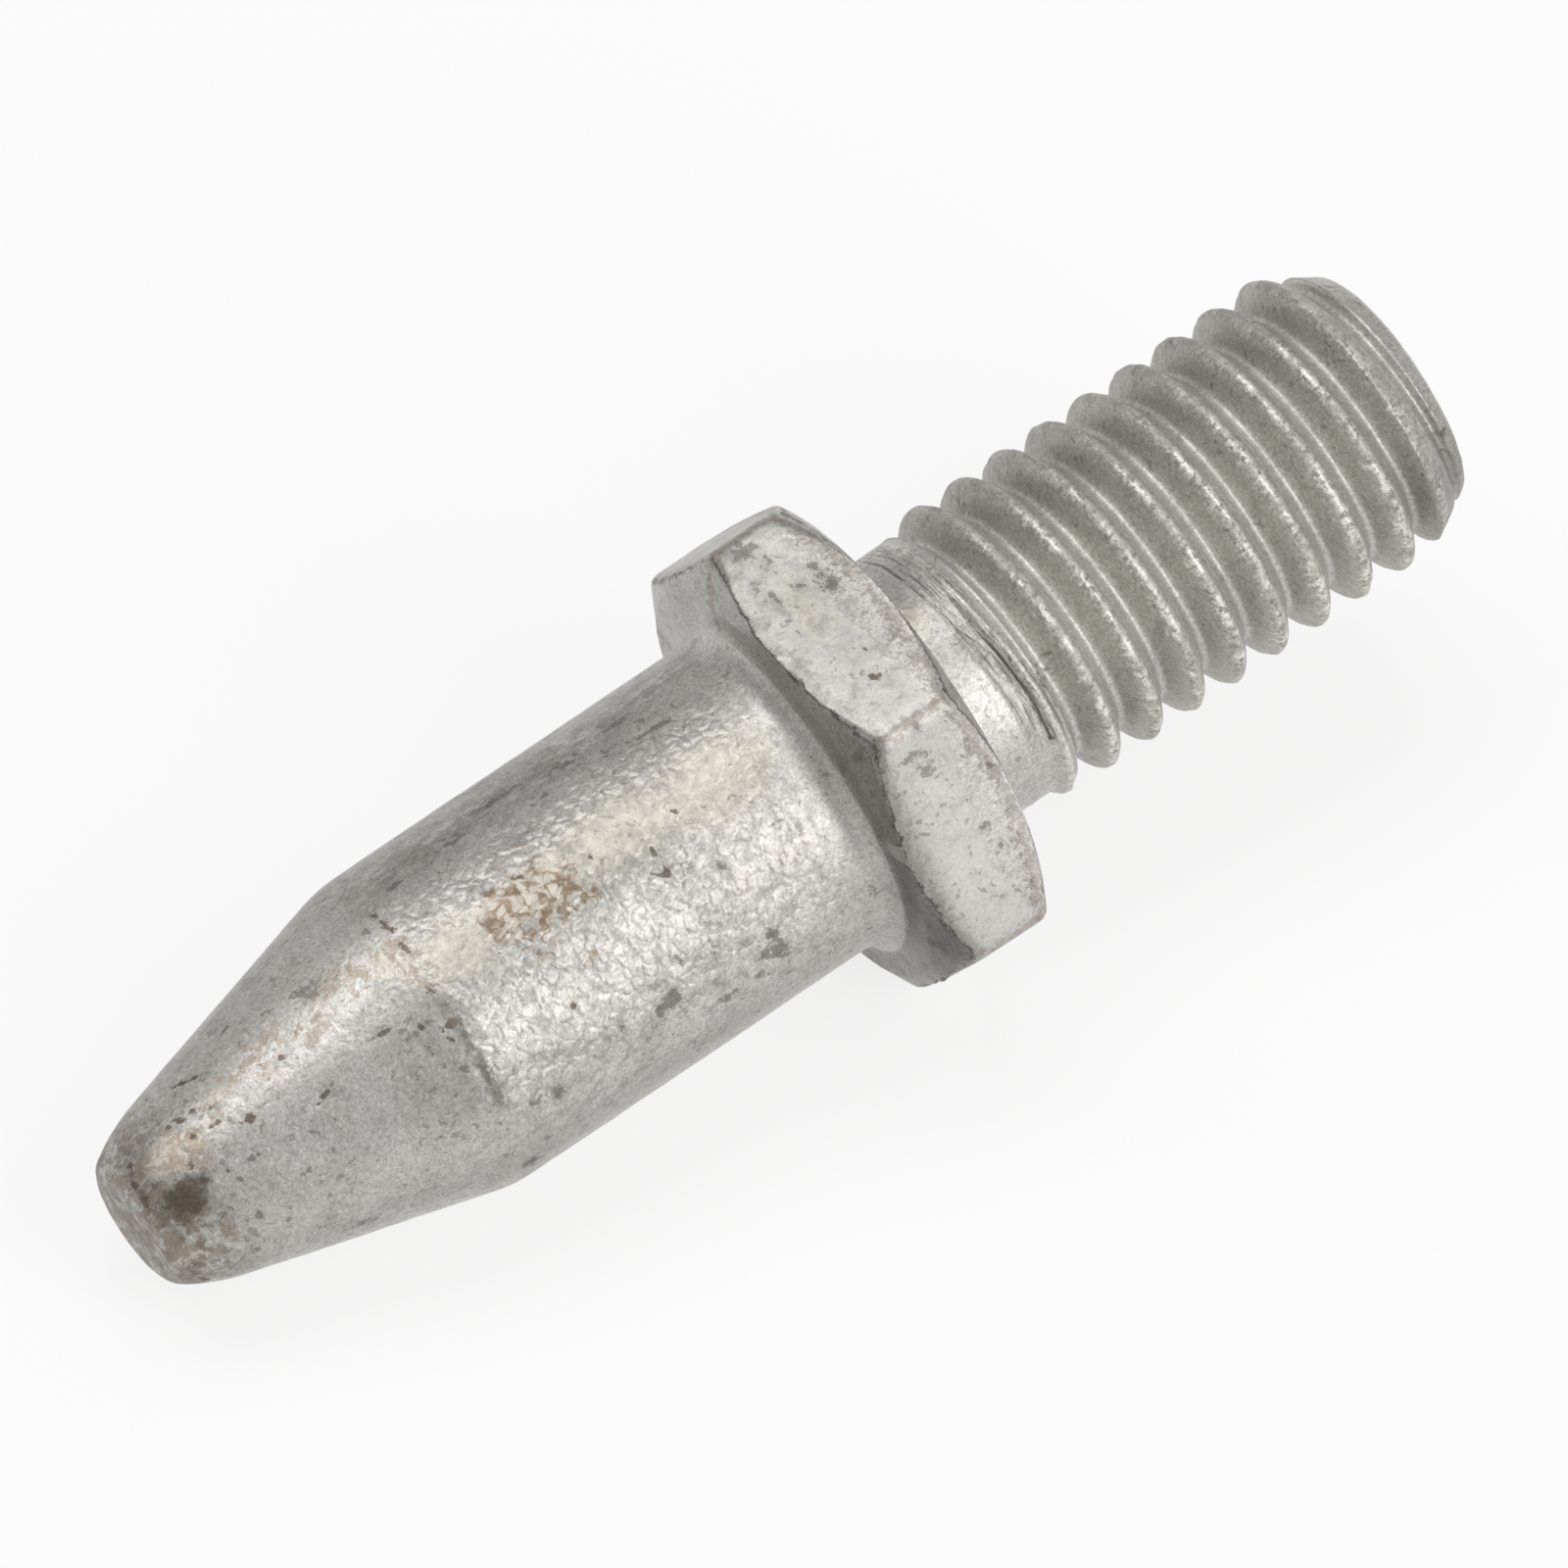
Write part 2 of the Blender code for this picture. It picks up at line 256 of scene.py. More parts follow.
def section_heights():
    """Height of the thread over its neck: straight flanks, an arched crest and a rounded root."""
    def form(x):
        away = np.abs((x - CREST_X + THREAD_PITCH / 2) % THREAD_PITCH - THREAD_PITCH / 2)
        flank = FLANK_SLOPE * (CREST_X - ROOT_X - ROOT_HALF_WIDTH - away) - ROOT_DEPTH
        level = FLANK_SLOPE * (CREST_X - ROOT_X - ROOT_HALF_WIDTH) - ROOT_DEPTH
        reach = 2 * (level - CREST_HEIGHT) / FLANK_SLOPE
        cap = CREST_HEIGHT - FLANK_SLOPE / (2 * reach) * away**2
        return np.where(away < reach, cap, np.maximum(flank, -ROOT_DEPTH))

    spread = np.linspace(-0.055, 0.055, 23)
    return np.array([form(x + spread).mean() for x in SECTION_X])


def thread_rows(angles):
    """Rows of points (x, r, angle) across the helical strip, one row per column and turn."""
    columns = len(angles)
    turns = math.ceil((END_X - THREAD_START_X) / THREAD_PITCH) + 1
    steps = np.arange(turns * columns + 1)
    angle = angles[steps % columns] + 2 * math.pi * (steps // columns)
    done = (angle - angles[0]) / (2 * math.pi)
    crest = smooth_step(done, -0.15, 1.05)[:, None]
    groove = smooth_step(done, 0.5, 1)[:, None]
    heights = section_heights()[None, :]
    advance = (angle - THREAD_START_ANGLE)[:, None] / (2 * math.pi) * THREAD_PITCH
    x = THREAD_START_X + advance + SECTION_X[None, :]
    r = PITCH_RADIUS + np.where(heights > 0, heights * crest, heights * groove)
    edge_x = END_X - END_EDGE_RADIUS * (1 - math.sin(END_CHAMFER))
    edge_r = END_RADIUS + END_EDGE_RADIUS * math.cos(END_CHAMFER)
    limit = edge_r + (edge_x - x) * math.tan(END_CHAMFER)
    return np.dstack([x, np.minimum(r, limit), np.broadcast_to(angle[:, None], x.shape)])


def joined_polylines(left, right, places):
    """Triangles between two rows of vertex numbers, taken in the order of their places along x."""
    faces = []
    i = j = 0
    while i < len(left) - 1 or j < len(right) - 1:
        take_left = j == len(right) - 1
        if i < len(left) - 1 and not take_left:
            take_left = places[left[i + 1]] <= places[right[j + 1]]
        if take_left:
            faces.append((left[i], right[j], left[i + 1]))
            i += 1
        else:
            faces.append((left[i], right[j], right[j + 1]))
            j += 1
    return faces


def bolt_mesh():
    """The whole surface as a bmesh in the bolt's own millimetres."""
    angles = column_angles()
    columns = len(angles)
    ones = np.ones(columns)
    rings = [np.column_stack([x * ones, r * ones]) for x, r in pin_profile()]
    rings += collar_rings(angles)
    neck = arc(BEARING_FACE_X + NECK_FILLET_RADIUS, PITCH_RADIUS + NECK_FILLET_RADIUS, NECK_FILLET_RADIUS,
               math.pi / 2, math.pi, 6)
    rings += [np.column_stack([x * ones, r * ones]) for x, r in neck[1:]]
    rows = thread_rows(angles)
    start = rows[:columns, 0, 0]
    neck_x = neck[-1][0]
    for step in range(1, NECK_STEPS):
        ring_x = neck_x + (start - neck_x) * step / NECK_STEPS
        rings.append(np.column_stack([ring_x, PITCH_RADIUS * ones]))

    points = [np.array([[0.0, 0.0, 0.0]])]
    points += [np.column_stack([ring, angles]) for ring in rings]
    points += [rows.reshape(-1, 3)]
    points = np.concatenate(points)
    thread_at = 1 + len(rings) * columns
    across = rows.shape[1]

    def ring_point(ring, column):
        return 1 + ring * columns + column % columns

    def row_point(step, k):
        return thread_at + step * across + k

    faces = [(0, ring_point(0, i), ring_point(0, i + 1)) for i in range(columns)]
    whole = len(rings) - NECK_STEPS + 1
    for ring in range(len(rings) - 1):
        for i in range(columns if ring < whole - 1 else columns - 1):
            faces.append((ring_point(ring, i), ring_point(ring + 1, i),
                          ring_point(ring + 1, i + 1), ring_point(ring, i + 1)))
    last = len(rings) - 1
    for i in range(columns - 1):
        faces.append((ring_point(last, i), row_point(i, 0), row_point(i + 1, 0), ring_point(last, i + 1)))
    left = [ring_point(ring, columns - 1) for ring in range(whole - 1, len(rings))]
    left += [row_point(columns - 1, 0)]
    right = [ring_point(ring, 0) for ring in range(whole - 1, len(rings))]
    right += [row_point(0, k) for k in range(across)] + [row_point(columns, 0)]
    faces += joined_polylines(left, right, points[:, 0])
    steps = len(rows) - 1 - columns
    for step in range(steps):
        here = [row_point(step, k) for k in range(across)] + [row_point(step + columns, 0)]
        after = [row_point(step + 1, k) for k in range(across)] + [row_point(step + 1 + columns, 0)]
        for k in range(across):
            faces.append((here[k], here[k + 1], after[k + 1], after[k]))

    used = sorted({v for face in faces for v in face})
    renumber = {v: i for i, v in enumerate(used)}
    points = points[used]
    x, r, a = points.T
    data = bpy.data.meshes.new("bolt_surface")
    data.from_pydata(np.column_stack([x, -r * np.sin(a), r * np.cos(a)]).tolist(), [],
                     [tuple(renumber[v] for v in face) for face in faces])
    mesh = bmesh.new()
    mesh.from_mesh(data)
    close_end(mesh)
    bmesh.ops.recalc_face_normals(mesh, faces=mesh.faces)
    return data, mesh


def close_end(mesh):
    """Cuts the thread off square and closes it with a rounded edge and a flat face."""
    edge_x = END_X - END_EDGE_RADIUS * (1 - math.sin(END_CHAMFER))
    cut = bmesh.ops.bisect_plane(mesh, geom=mesh.verts[:] + mesh.edges[:] + mesh.faces[:], dist=1e-5,
                                 plane_co=(edge_x, 0, 0), plane_no=(1, 0, 0), clear_outer=True)
    loop = [part for part in cut["geom_cut"] if isinstance(part, bmesh.types.BMEdge)]
    face = bmesh.ops.edgeloop_fill(mesh, edges=loop)["faces"][0]
    profile = arc(END_X - END_EDGE_RADIUS, END_RADIUS, END_EDGE_RADIUS, -END_CHAMFER, -math.pi / 2, 5)[1:]
    profile += line(profile[-1], (END_X, 0.12), 11)
    for x, radius in profile:
        face = bmesh.ops.extrude_discrete_faces(mesh, faces=[face])["faces"][0]
        for vertex in face.verts:
            outward = Vector((0, vertex.co.y, vertex.co.z)).normalized()
            vertex.co = Vector((x, 0, 0)) + outward * radius
    bmesh.ops.poke(mesh, faces=[face])


# Marks seen on the real one, and patches of painted highlight ('light') and painted shade: kind, x, angle in
# degrees, half length along x, half width round it, strength
MARKS = [
    # Dirt and rust round the tip
    ("stain", 0.95, 31, 0.55, 0.6, 1.2),
    ("stain", 1.45, 27, 0.25, 0.25, 1.0),
    ("stain", 0.0, 45, 0.12, 1.4, 0.5),
    ("stain", 0.45, 8, 0.4, 0.45, 0.55),
    ("stain", 0.35, 52, 0.5, 0.8, 0.4),
    ("stain", 0.3, -12, 0.3, 0.4, 0.4),
    ("stain", 1.5, 14, 0.3, 0.3, 0.45),
    ("stain", 0.2, 95, 0.4, 0.9, 0.5),
    ("grey", 0.55, 14, 0.16, 0.2, 0.9),
    ("grey", 0.5, 84, 0.22, 0.3, 0.7),
    ("grey", 0.75, 66, 0.2, 0.25, 0.6),
    ("rust", 0.62, 105, 0.15, 0.2, 0.8),
    ("cream", 1.15, 2, 0.5, 0.5, 1.3),
    # Painted highlight on the cream patch at the tip
    ("light", 1.3, 3, 0.6, 0.6, 1.2),
    ("rust", 2.62, -2, 0.12, 0.08, 0.8),
    ("rust", 1.95, 4, 0.1, 0.1, 0.8),
    ("rust", 1.9, -10, 0.1, 0.12, 0.7),
    ("cream", 1.5, 12, 0.3, 0.3, 0.9),
    ("cream", 0.45, 70, 0.4, 0.5, 0.7),
    ("cream", 2.92, -4, 0.3, 0.2, 1.0),
    ("rust", 1.4, 17, 0.12, 0.14, 0.8),
    ("rust", 1.65, -13, 0.13, 0.14, 0.7),
    ("rust", 2.26, -8, 0.18, 0.1, 0.9),
    ("rust", 2.42, 6, 0.15, 0.08, 0.9),
    ("rust", 2.0, 30, 0.09, 0.08, 0.9),
    ("grey", 2.21, 38, 0.1, 0.08, 1.0),
    ("grey", 2.78, 32, 0.12, 0.08, 0.9),
    ("grey", 1.84, 84, 0.14, 0.12, 0.8),
    ("grey", 2.18, 61, 0.12, 0.14, 0.9),
    ("grey", 2.76, 70, 0.1, 0.1, 0.8),
    ("grey", 1.4, 50, 0.14, 0.12, 0.8),
    # Cone
    ("rust", 3.13, 15, 0.15, 0.1, 1.25),
    ("rust", 3.65, 35, 0.09, 0.08, 1.0),
    ("rust", 4.0, -33, 0.28, 0.07, 0.6),
    ("grey", 6.1, 88, 0.3, 0.08, 0.55),
    ("net", 4.6, 3, 1.2, 0.4, 0.42),
    ("net", 3.2, 12, 0.7, 0.4, 0.42),
    ("grey", 3.58, 51, 0.14, 0.13, 1.0),
    ("rust", 4.65, 2, 0.2, 0.12, 0.8),
    ("blotch", 4.2, -8, 1.4, 0.6, 0.8),
    ("blotch", 6.8, -4, 1.3, 0.7, 0.9),
    ("blotch", 2.3, 2, 0.7, 0.5, 0.9),
    ("blotch", 8.3, 4, 0.4, 1.0, 1.2),
    ("blotch", 1.4, 8, 0.6, 0.7, 1.2),
    ("grey", 6.0, -14, 0.4, 0.25, 0.7),
    ("rust", 5.75, -14, 0.2, 0.08, 0.7),
    ("rust", 8.17, 30, 0.17, 0.12, 1.2),
    ("rust", 7.99, 34, 0.09, 0.05, 1.0),
    ("rust", 8.27, 38, 0.09, 0.07, 0.9),
    ("grey", 7.91, 45, 0.22, 0.12, 0.9),
    ("grey", 7.4, 30, 0.06, 0.3, 0.7),
    ("cream", 7.88, -1, 0.4, 0.5, 0.8),
    ("grey", 4.61, 96, 0.4, 0.2, 0.6),
    ("grey", 8.57, 98, 0.3, 0.2, 0.7),
    ("grey", 9.77, 72, 0.3, 0.2, 0.8),
    ("grey", 9.16, 70, 0.15, 0.15, 0.8),
    # Border of the cone
    ("rust", 8.42, -12, 0.12, 0.45, 0.8),
    ("rust", 8.35, 1, 0.14, 0.4, 0.7),
    ("rust", 8.2, 17, 0.12, 0.2, 0.7),
    # Cylinder
    ("net", 11.5, 12, 1.3, 0.9, 1.3),
    ("net", 10.6, 12, 0.6, 0.6, 1.2),
    ("net", 12.5, 18, 0.7, 0.4, 1.0),
    ("net", 11.1, 28, 0.5, 0.3, 0.6),
    ("net", 10.8, 2, 0.4, 0.3, 1.0),
    ("stain", 10.9, 4, 0.35, 0.16, 0.5),
    ("stain", 11.7, 5, 0.3, 0.2, 0.45),
    ("stain", 10.5, 16, 0.3, 0.2, 0.4),
    ("rust", 11.6, 2, 0.14, 0.1, 0.8),
    ("rust", 12.9, 17.4, 0.1, 0.09, 0.8),
    ("net", 12.0, 37, 0.3, 0.2, 0.8),
    ("cream", 16.8, 11, 1.5, 0.95, 1.3),
    ("cream", 14.2, 7.5, 1.4, 0.75, 1.5),
    ("cream", 12.0, 8, 1.3, 0.6, 1.3),
    ("cream", 9.4, 10, 1.0, 0.7, 1.3),
    ("cream", 10.6, 9, 0.9, 0.55, 1.2),
    ("rust", 13.24, 10, 0.1, 0.1, 0.9),
    ("rust", 15.68, 13, 0.1, 0.08, 0.8),
    ("grey", 13.65, -1, 0.09, 0.07, 1.1),
    ("grey", 14.35, 2, 0.07, 0.1, 1.0),
    ("grey", 14.37, -3, 0.07, 0.06, 0.9),
    ("grey", 16.34, 17, 0.09, 0.07, 1.1),
    ("rust", 16.66, 25, 0.09, 0.09, 0.7),
    ("grey", 15.78, 36, 0.08, 0.12, 0.9),
    ("grey", 14.72, 57, 0.12, 0.1, 1.0),
    ("grey", 14.68, 61, 0.07, 0.14, 0.9),
    ("grey", 13.74, 55, 0.1, 0.13, 0.7),
    ("grey", 14.79, 50, 0.08, 0.08, 0.7),
    ("grey", 11.74, 65, 0.14, 0.1, 0.9),
    ("rust", 10.98, 47, 0.13, 0.1, 0.8),
    ("grey", 13.22, 66, 0.24, 0.25, 1.35),
    ("grey", 12.85, 66, 0.14, 0.13, 1.1),
    ("grey", 12.79, 69, 0.09, 0.12, 1.0),
    ("grey", 16.16, 74, 0.24, 0.24, 1.25),
    ("grey", 16.1, 66, 0.2, 0.18, 1.1),
    ("grey", 15.8, 72, 0.22, 0.12, 1.0),
    ("grey", 16.3, 87, 0.2, 0.14, 0.9),
    ("grey", 15.6, 80, 0.25, 0.14, 0.8),
    ("grey", 14.6, 80, 0.4, 0.12, 0.7),
    ("grey", 9.4, -23, 0.4, 0.14, 0.9),
    ("grey", 10.2, -27, 0.35, 0.1, 0.9),
    ("grey", 11.2, -26, 0.5, 0.14, 0.8),
    ("grey", 12.6, -32, 0.7, 0.14, 0.9),
    ("grey", 13.4, -20, 0.5, 0.1, 0.8),
    ("grey", 14.3, -27, 0.5, 0.14, 0.9),
    ("grey", 15.4, -20, 0.4, 0.12, 0.8),
    ("grey", 16.5, -17, 0.5, 0.1, 0.8),
    ("grey", 16.0, -30, 0.6, 0.14, 0.8),
    # Top flat of the collar
    ("grey", 21.72, -9, 0.2, 0.24, 1.2),
    ("grey", 20.4, -27, 0.2, 0.3, 0.7),
    ("grey", 20.9, -21, 0.12, 0.12, 0.8),
    ("rust", 21.55, -12, 0.12, 0.1, 0.8),
    ("grey", 21.7, -14, 0.16, 0.25, 0.8),
    ("grey", 20.66, -25, 0.16, 0.14, 1.1),
    ("grey", 20.45, -14, 0.1, 0.25, 0.9),
    ("grey", 21.1, -13, 0.12, 0.16, 0.9),
    ("grey", 21.3, -18, 0.1, 0.1, 0.8),
    ("grey", 20.95, -25, 0.12, 0.16, 0.9),
    ("grey", 20.64, -28, 0.12, 0.14, 0.8),
    ("grey", 20.23, -18, 0.14, 0.14, 0.9),
    ("grey", 20.84, -16, 0.12, 0.1, 0.8),
    ("rust", 21.27, 10.5, 0.08, 0.07, 0.8),
    ("rust", 21.02, 17, 0.14, 0.07, 0.8),
    ("grey", 20.87, 6, 0.14, 0.06, 0.5),
    ("net", 22.0, -27, 0.3, 0.7, 0.5),
    ("cream", 20.9, -6, 0.8, 1.6, 0.5),
    # The flat in front of it
    ("grey", 20.85, 41, 0.28, 0.2, 0.8),
    ("grey", 20.62, 36.5, 0.3, 0.18, 0.75),
    ("grey", 20.9, 35, 0.16, 0.3, 0.6),
    ("grey", 21.03, 32, 0.1, 0.25, 0.7),
    ("grey", 21.15, 46, 0.12, 0.14, 0.9),
    ("grey", 21.41, 53, 0.1, 0.1, 1.0),
    ("grey", 21.54, 62, 0.1, 0.12, 0.9),
    ("grey", 21.71, 69, 0.12, 0.09, 0.9),
    ("grey", 22.0, 70, 0.09, 0.09, 0.7),
    ("rust", 22.32, 49, 0.09, 0.09, 1.1),
    ("rust", 22.07, 82, 0.1, 0.1, 0.9),
    ("rust", 22.45, 62, 0.07, 0.07, 0.9),
    ("grey", 20.34, 60, 0.14, 0.1, 0.5),
    ("net", 22.2, 42, 0.25, 0.4, 0.5),
    # Neck and end
    ("cream", 23.4, -4, 0.4, 0.9, 0.7),
    # Painted shade on the neck's cream patch, and a painted highlight on the neck
    ("painted_shade", 23.4, -6, 0.45, 1.0, 1.0),
    ("light", 23.6, 42, 0.6, 1.3, 1.5),
    ("rust", 24.66, 71, 0.09, 0.06, 1.4),
    ("rust", 24.95, 94, 0.08, 0.06, 1.1),
    ("grey", 36.85, 58, 0.13, 0.13, 1.2),
    # Painted highlights: zinc made lighter where the lamps' highlights fall, with two patches of painted
    # shade among them
    ("light", 16.8, 40, 2.0, 1.8, 1.4),
    ("light", 13.6, 40, 2.0, 1.1, 1.0),
    ("light", 10.4, 47, 1.6, 0.9, 0.9),
    ("light", 18.6, 28, 0.4, 2.8, 1.1),
    ("light", 5.6, -6, 3.2, 0.95, 1.4),
    ("light", 9.4, 38, 0.9, 0.8, 0.7),
    ("light", 6.9, 15, 1.1, 0.45, 0.7),
    ("light", 8.95, 56, 0.45, 0.9, 0.7),
    ("painted_shade", 7.7, 50, 0.5, 0.8, 0.5),
    ("light", 2.6, 12, 0.5, 0.5, 0.5),
    ("light", 3.3, 47, 0.8, 0.5, 0.35),
    ("light", 21.2, 60, 1.3, 2.6, 0.35),
    ("painted_shade", 21.2, -2, 1.6, 3.0, 0.8),
    ("light", 26.0, 35, 3.0, 1.8, 0.5),
    ("light", 31.0, 32, 4.0, 1.6, 0.3),
    ("light", 36.7, 10, 0.5, 1.6, 0.35),
    # Painted shade: zinc made darker along the pin's upper and lower sides, on the cone, on the collar's side
    # towards the pin, on the thread's upper side and round its end; beside them stains at the collar, and
    # blotches, stains and rust round the tip
    ("painted_shade", 9.5, -54, 12.0, 0.8, 0.9),
    ("painted_shade", 9.5, 95, 12.0, 0.8, 0.9),
    ("painted_shade", 6.8, 45, 0.9, 0.5, 0.45),
    ("painted_shade", 19.9, 98, 0.7, 2.0, 0.6),
    ("stain", 19.95, 94, 0.18, 0.5, 0.5),
    ("stain", 20.1, 84, 0.12, 0.4, 0.4),
    ("painted_shade", 19.7, 62, 0.4, 3.8, 1.5),
    ("painted_shade", 19.6, 85, 0.5, 2.0, 1.6),
    ("painted_shade", 27.5, -45, 3.0, 1.2, 0.5),
    ("painted_shade", 33.0, -45, 3.0, 1.2, 0.4),
    ("painted_shade", 36.6, 85, 1.2, 2.0, 1.6),
    ("painted_shade", 36.6, 20, 0.5, 2.4, 0.5),
    ("blotch", 12.0, -6, 1.2, 0.5, 0.6),
    ("blotch", 0.9, 60, 0.8, 0.9, 1.0),
    ("blotch", 0.6, 5, 0.6, 0.6, 1.0),
    ("blotch", 0.3, -40, 0.6, 0.9, 0.75),
    ("blotch", 0.2, 60, 0.5, 1.2, 1.0),
    ("stain", 0.2, 24, 0.25, 0.7, 0.6),
    ("stain", 0.15, -20, 0.2, 0.6, 0.35),
    ("blotch", 5.6, -2, 0.7, 0.5, 0.9),
    ("rust", 0.22, 0, 0.1, 0.14, 1.1),
    ("rust", 0.16, 16, 0.08, 0.12, 1.1),
    ("rust", 0.4, -14, 0.1, 0.12, 1.0),
    ("rust", 0.5, 30, 0.1, 0.12, 0.9),
]

# Fine lines seen on the real one: kind, depth in millimetres, and the places (x, angle in degrees) that
# each joins
LINES = [
    ("crack", 0.03, [(14.54, 16), (14.61, 20), (14.71, 23), (14.62, 28), (14.73, 32)]),
    ("crack", 0.02, [(14.24, 26), (14.58, 29)]),
    ("crack", 0.02, [(17.6, 34), (17.51, 35), (17.34, 35)]),
    ("crack", 0.04, [(4.55, 28), (4.77, 26.5), (4.97, 25)]),
    ("crack", 0.03, [(6.38, 18), (6.71, 19), (7.0, 20)]),
    ("crack", 0.03, [(6.39, 44), (6.76, 44), (7.05, 44)]),
    ("crack", 0.03, [(2.39, -31), (2.88, -23.5)]),
    ("crack", 0.04, [(8.24, 47), (8.3, 54), (8.3, 59), (8.33, 67)]),
    ("crack", 0.015, [(7.57, 24), (7.44, 28), (7.46, 32)]),
    ("nick", 0.06, [(25.73, 39), (25.5, 41), (25.3, 42.5), (25.09, 47), (25.03, 52), (25.03, 59),
                    (25.1, 69)]),
    ("nick", 0.04, [(25.42, 47), (25.22, 50), (25.14, 54), (25.13, 60)]),
]

# Places (angle in degrees, x) along the fold where the thread starts: its dark groove, the crease on the
# collar's side of it, and the low ridge on the thread's side
GROOVE_PATH = [(-60, 24.05), (-30, 24.14), (-8, 24.27), (6, 24.34), (17, 24.36), (27, 24.45), (37, 24.51),
               (49, 24.6), (63, 24.62), (71, 24.64), (90, 24.7)]
CREASE_PATH = [(-60, 23.7), (-32, 23.8), (-16, 23.85), (-7, 23.89), (4, 23.97), (14, 24.04), (21, 24.22),
               (34, 24.4), (47, 24.5), (59, 24.58), (90, 24.7)]
RIDGE_PATH = [(-60, 24.42), (-19, 24.46), (-3, 24.46), (9, 24.52), (20, 24.6), (31, 24.69), (45, 24.76),
              (57, 24.86), (75, 24.9), (96, 24.93), (118, 25.02), (150, 25.1)]


def mark_field(kind, x, r, a):
    """How strongly the marks of one kind reach each point: 1 in the middle of a mark of full strength."""
    field = np.zeros_like(x)
    for name, mark_x, degrees, length, width, strength in MARKS:
        if name == kind:
            round_it = r * ((a - math.radians(degrees) + math.pi) % (2 * math.pi) - math.pi)
            reach = ((x - mark_x) / length) ** 2 + (round_it / width) ** 2
            field = np.maximum(field, strength * np.exp(-reach))
    return field


def line_field(kind, x, r, a, width):
    """How near each point is to a fine line of this kind, 1 on the line, and the depth of the lines there."""
    near = np.zeros_like(x)
    depth = np.zeros_like(x)
    for name, deep, places in LINES:
        if name != kind:
            continue
        gap = np.full_like(x, 9.0)
        for (x0, a0), (x1, a1) in zip(places, places[1:]):
            u0 = r * ((a - math.radians(a0) + math.pi) % (2 * math.pi) - math.pi)
            along, across = x1 - x0, r * math.radians(a1 - a0)
            t = np.clip(((x - x0) * along + u0 * across) / np.maximum(along**2 + across**2, 1e-9), 0, 1)
            gap = np.minimum(gap, np.hypot(x - x0 - t * along, u0 - t * across))
        shape = np.exp(-((gap / width) ** 2))
        near = np.maximum(near, shape)
        depth = np.maximum(depth, deep * shape)
    return near, depth


def noise_field(points, scale, seed):
    offset = Vector((seed * 7.31, seed * 3.77, seed * 5.13))
    return np.array([noise.noise(Vector(p) * scale + offset) for p in points.tolist()])


def collar_edges(x, r, a):
    """Signed distances to the two edges of the collar's flats, and the distance to the nearest corner."""
    hexagon = hexagon_radius(a)
    near_x = PIN_LENGTH + (hexagon - PIN_FACE_RADIUS) * COLLAR_CHAMFER - np.interp(a, *WANDER)
    far_x = BEARING_FACE_X - (hexagon - BEARING_FACE_RADIUS) * COLLAR_CHAMFER
    near_arc, far_arc = [0.155 * edge_rounding(a, corners) for corners in (NEAR_CORNERS, FAR_CORNERS)]
    near = np.sign(x - near_x) * np.sqrt(np.maximum((x - near_x) ** 2 + (r - hexagon) ** 2 - near_arc**2, 0))
    far = np.sign(far_x - x) * np.sqrt(np.maximum((far_x - x) ** 2 + (r - hexagon) ** 2 - far_arc**2, 0))
    corner = r * np.abs(a % SECTOR - SECTOR / 2)
    here = (r > 4.7) & (x > 19.0) & (x < 22.9)
    return [np.clip(np.where(here, field, 2.0), -2.0, 2.0) for field in (near, far, corner)]


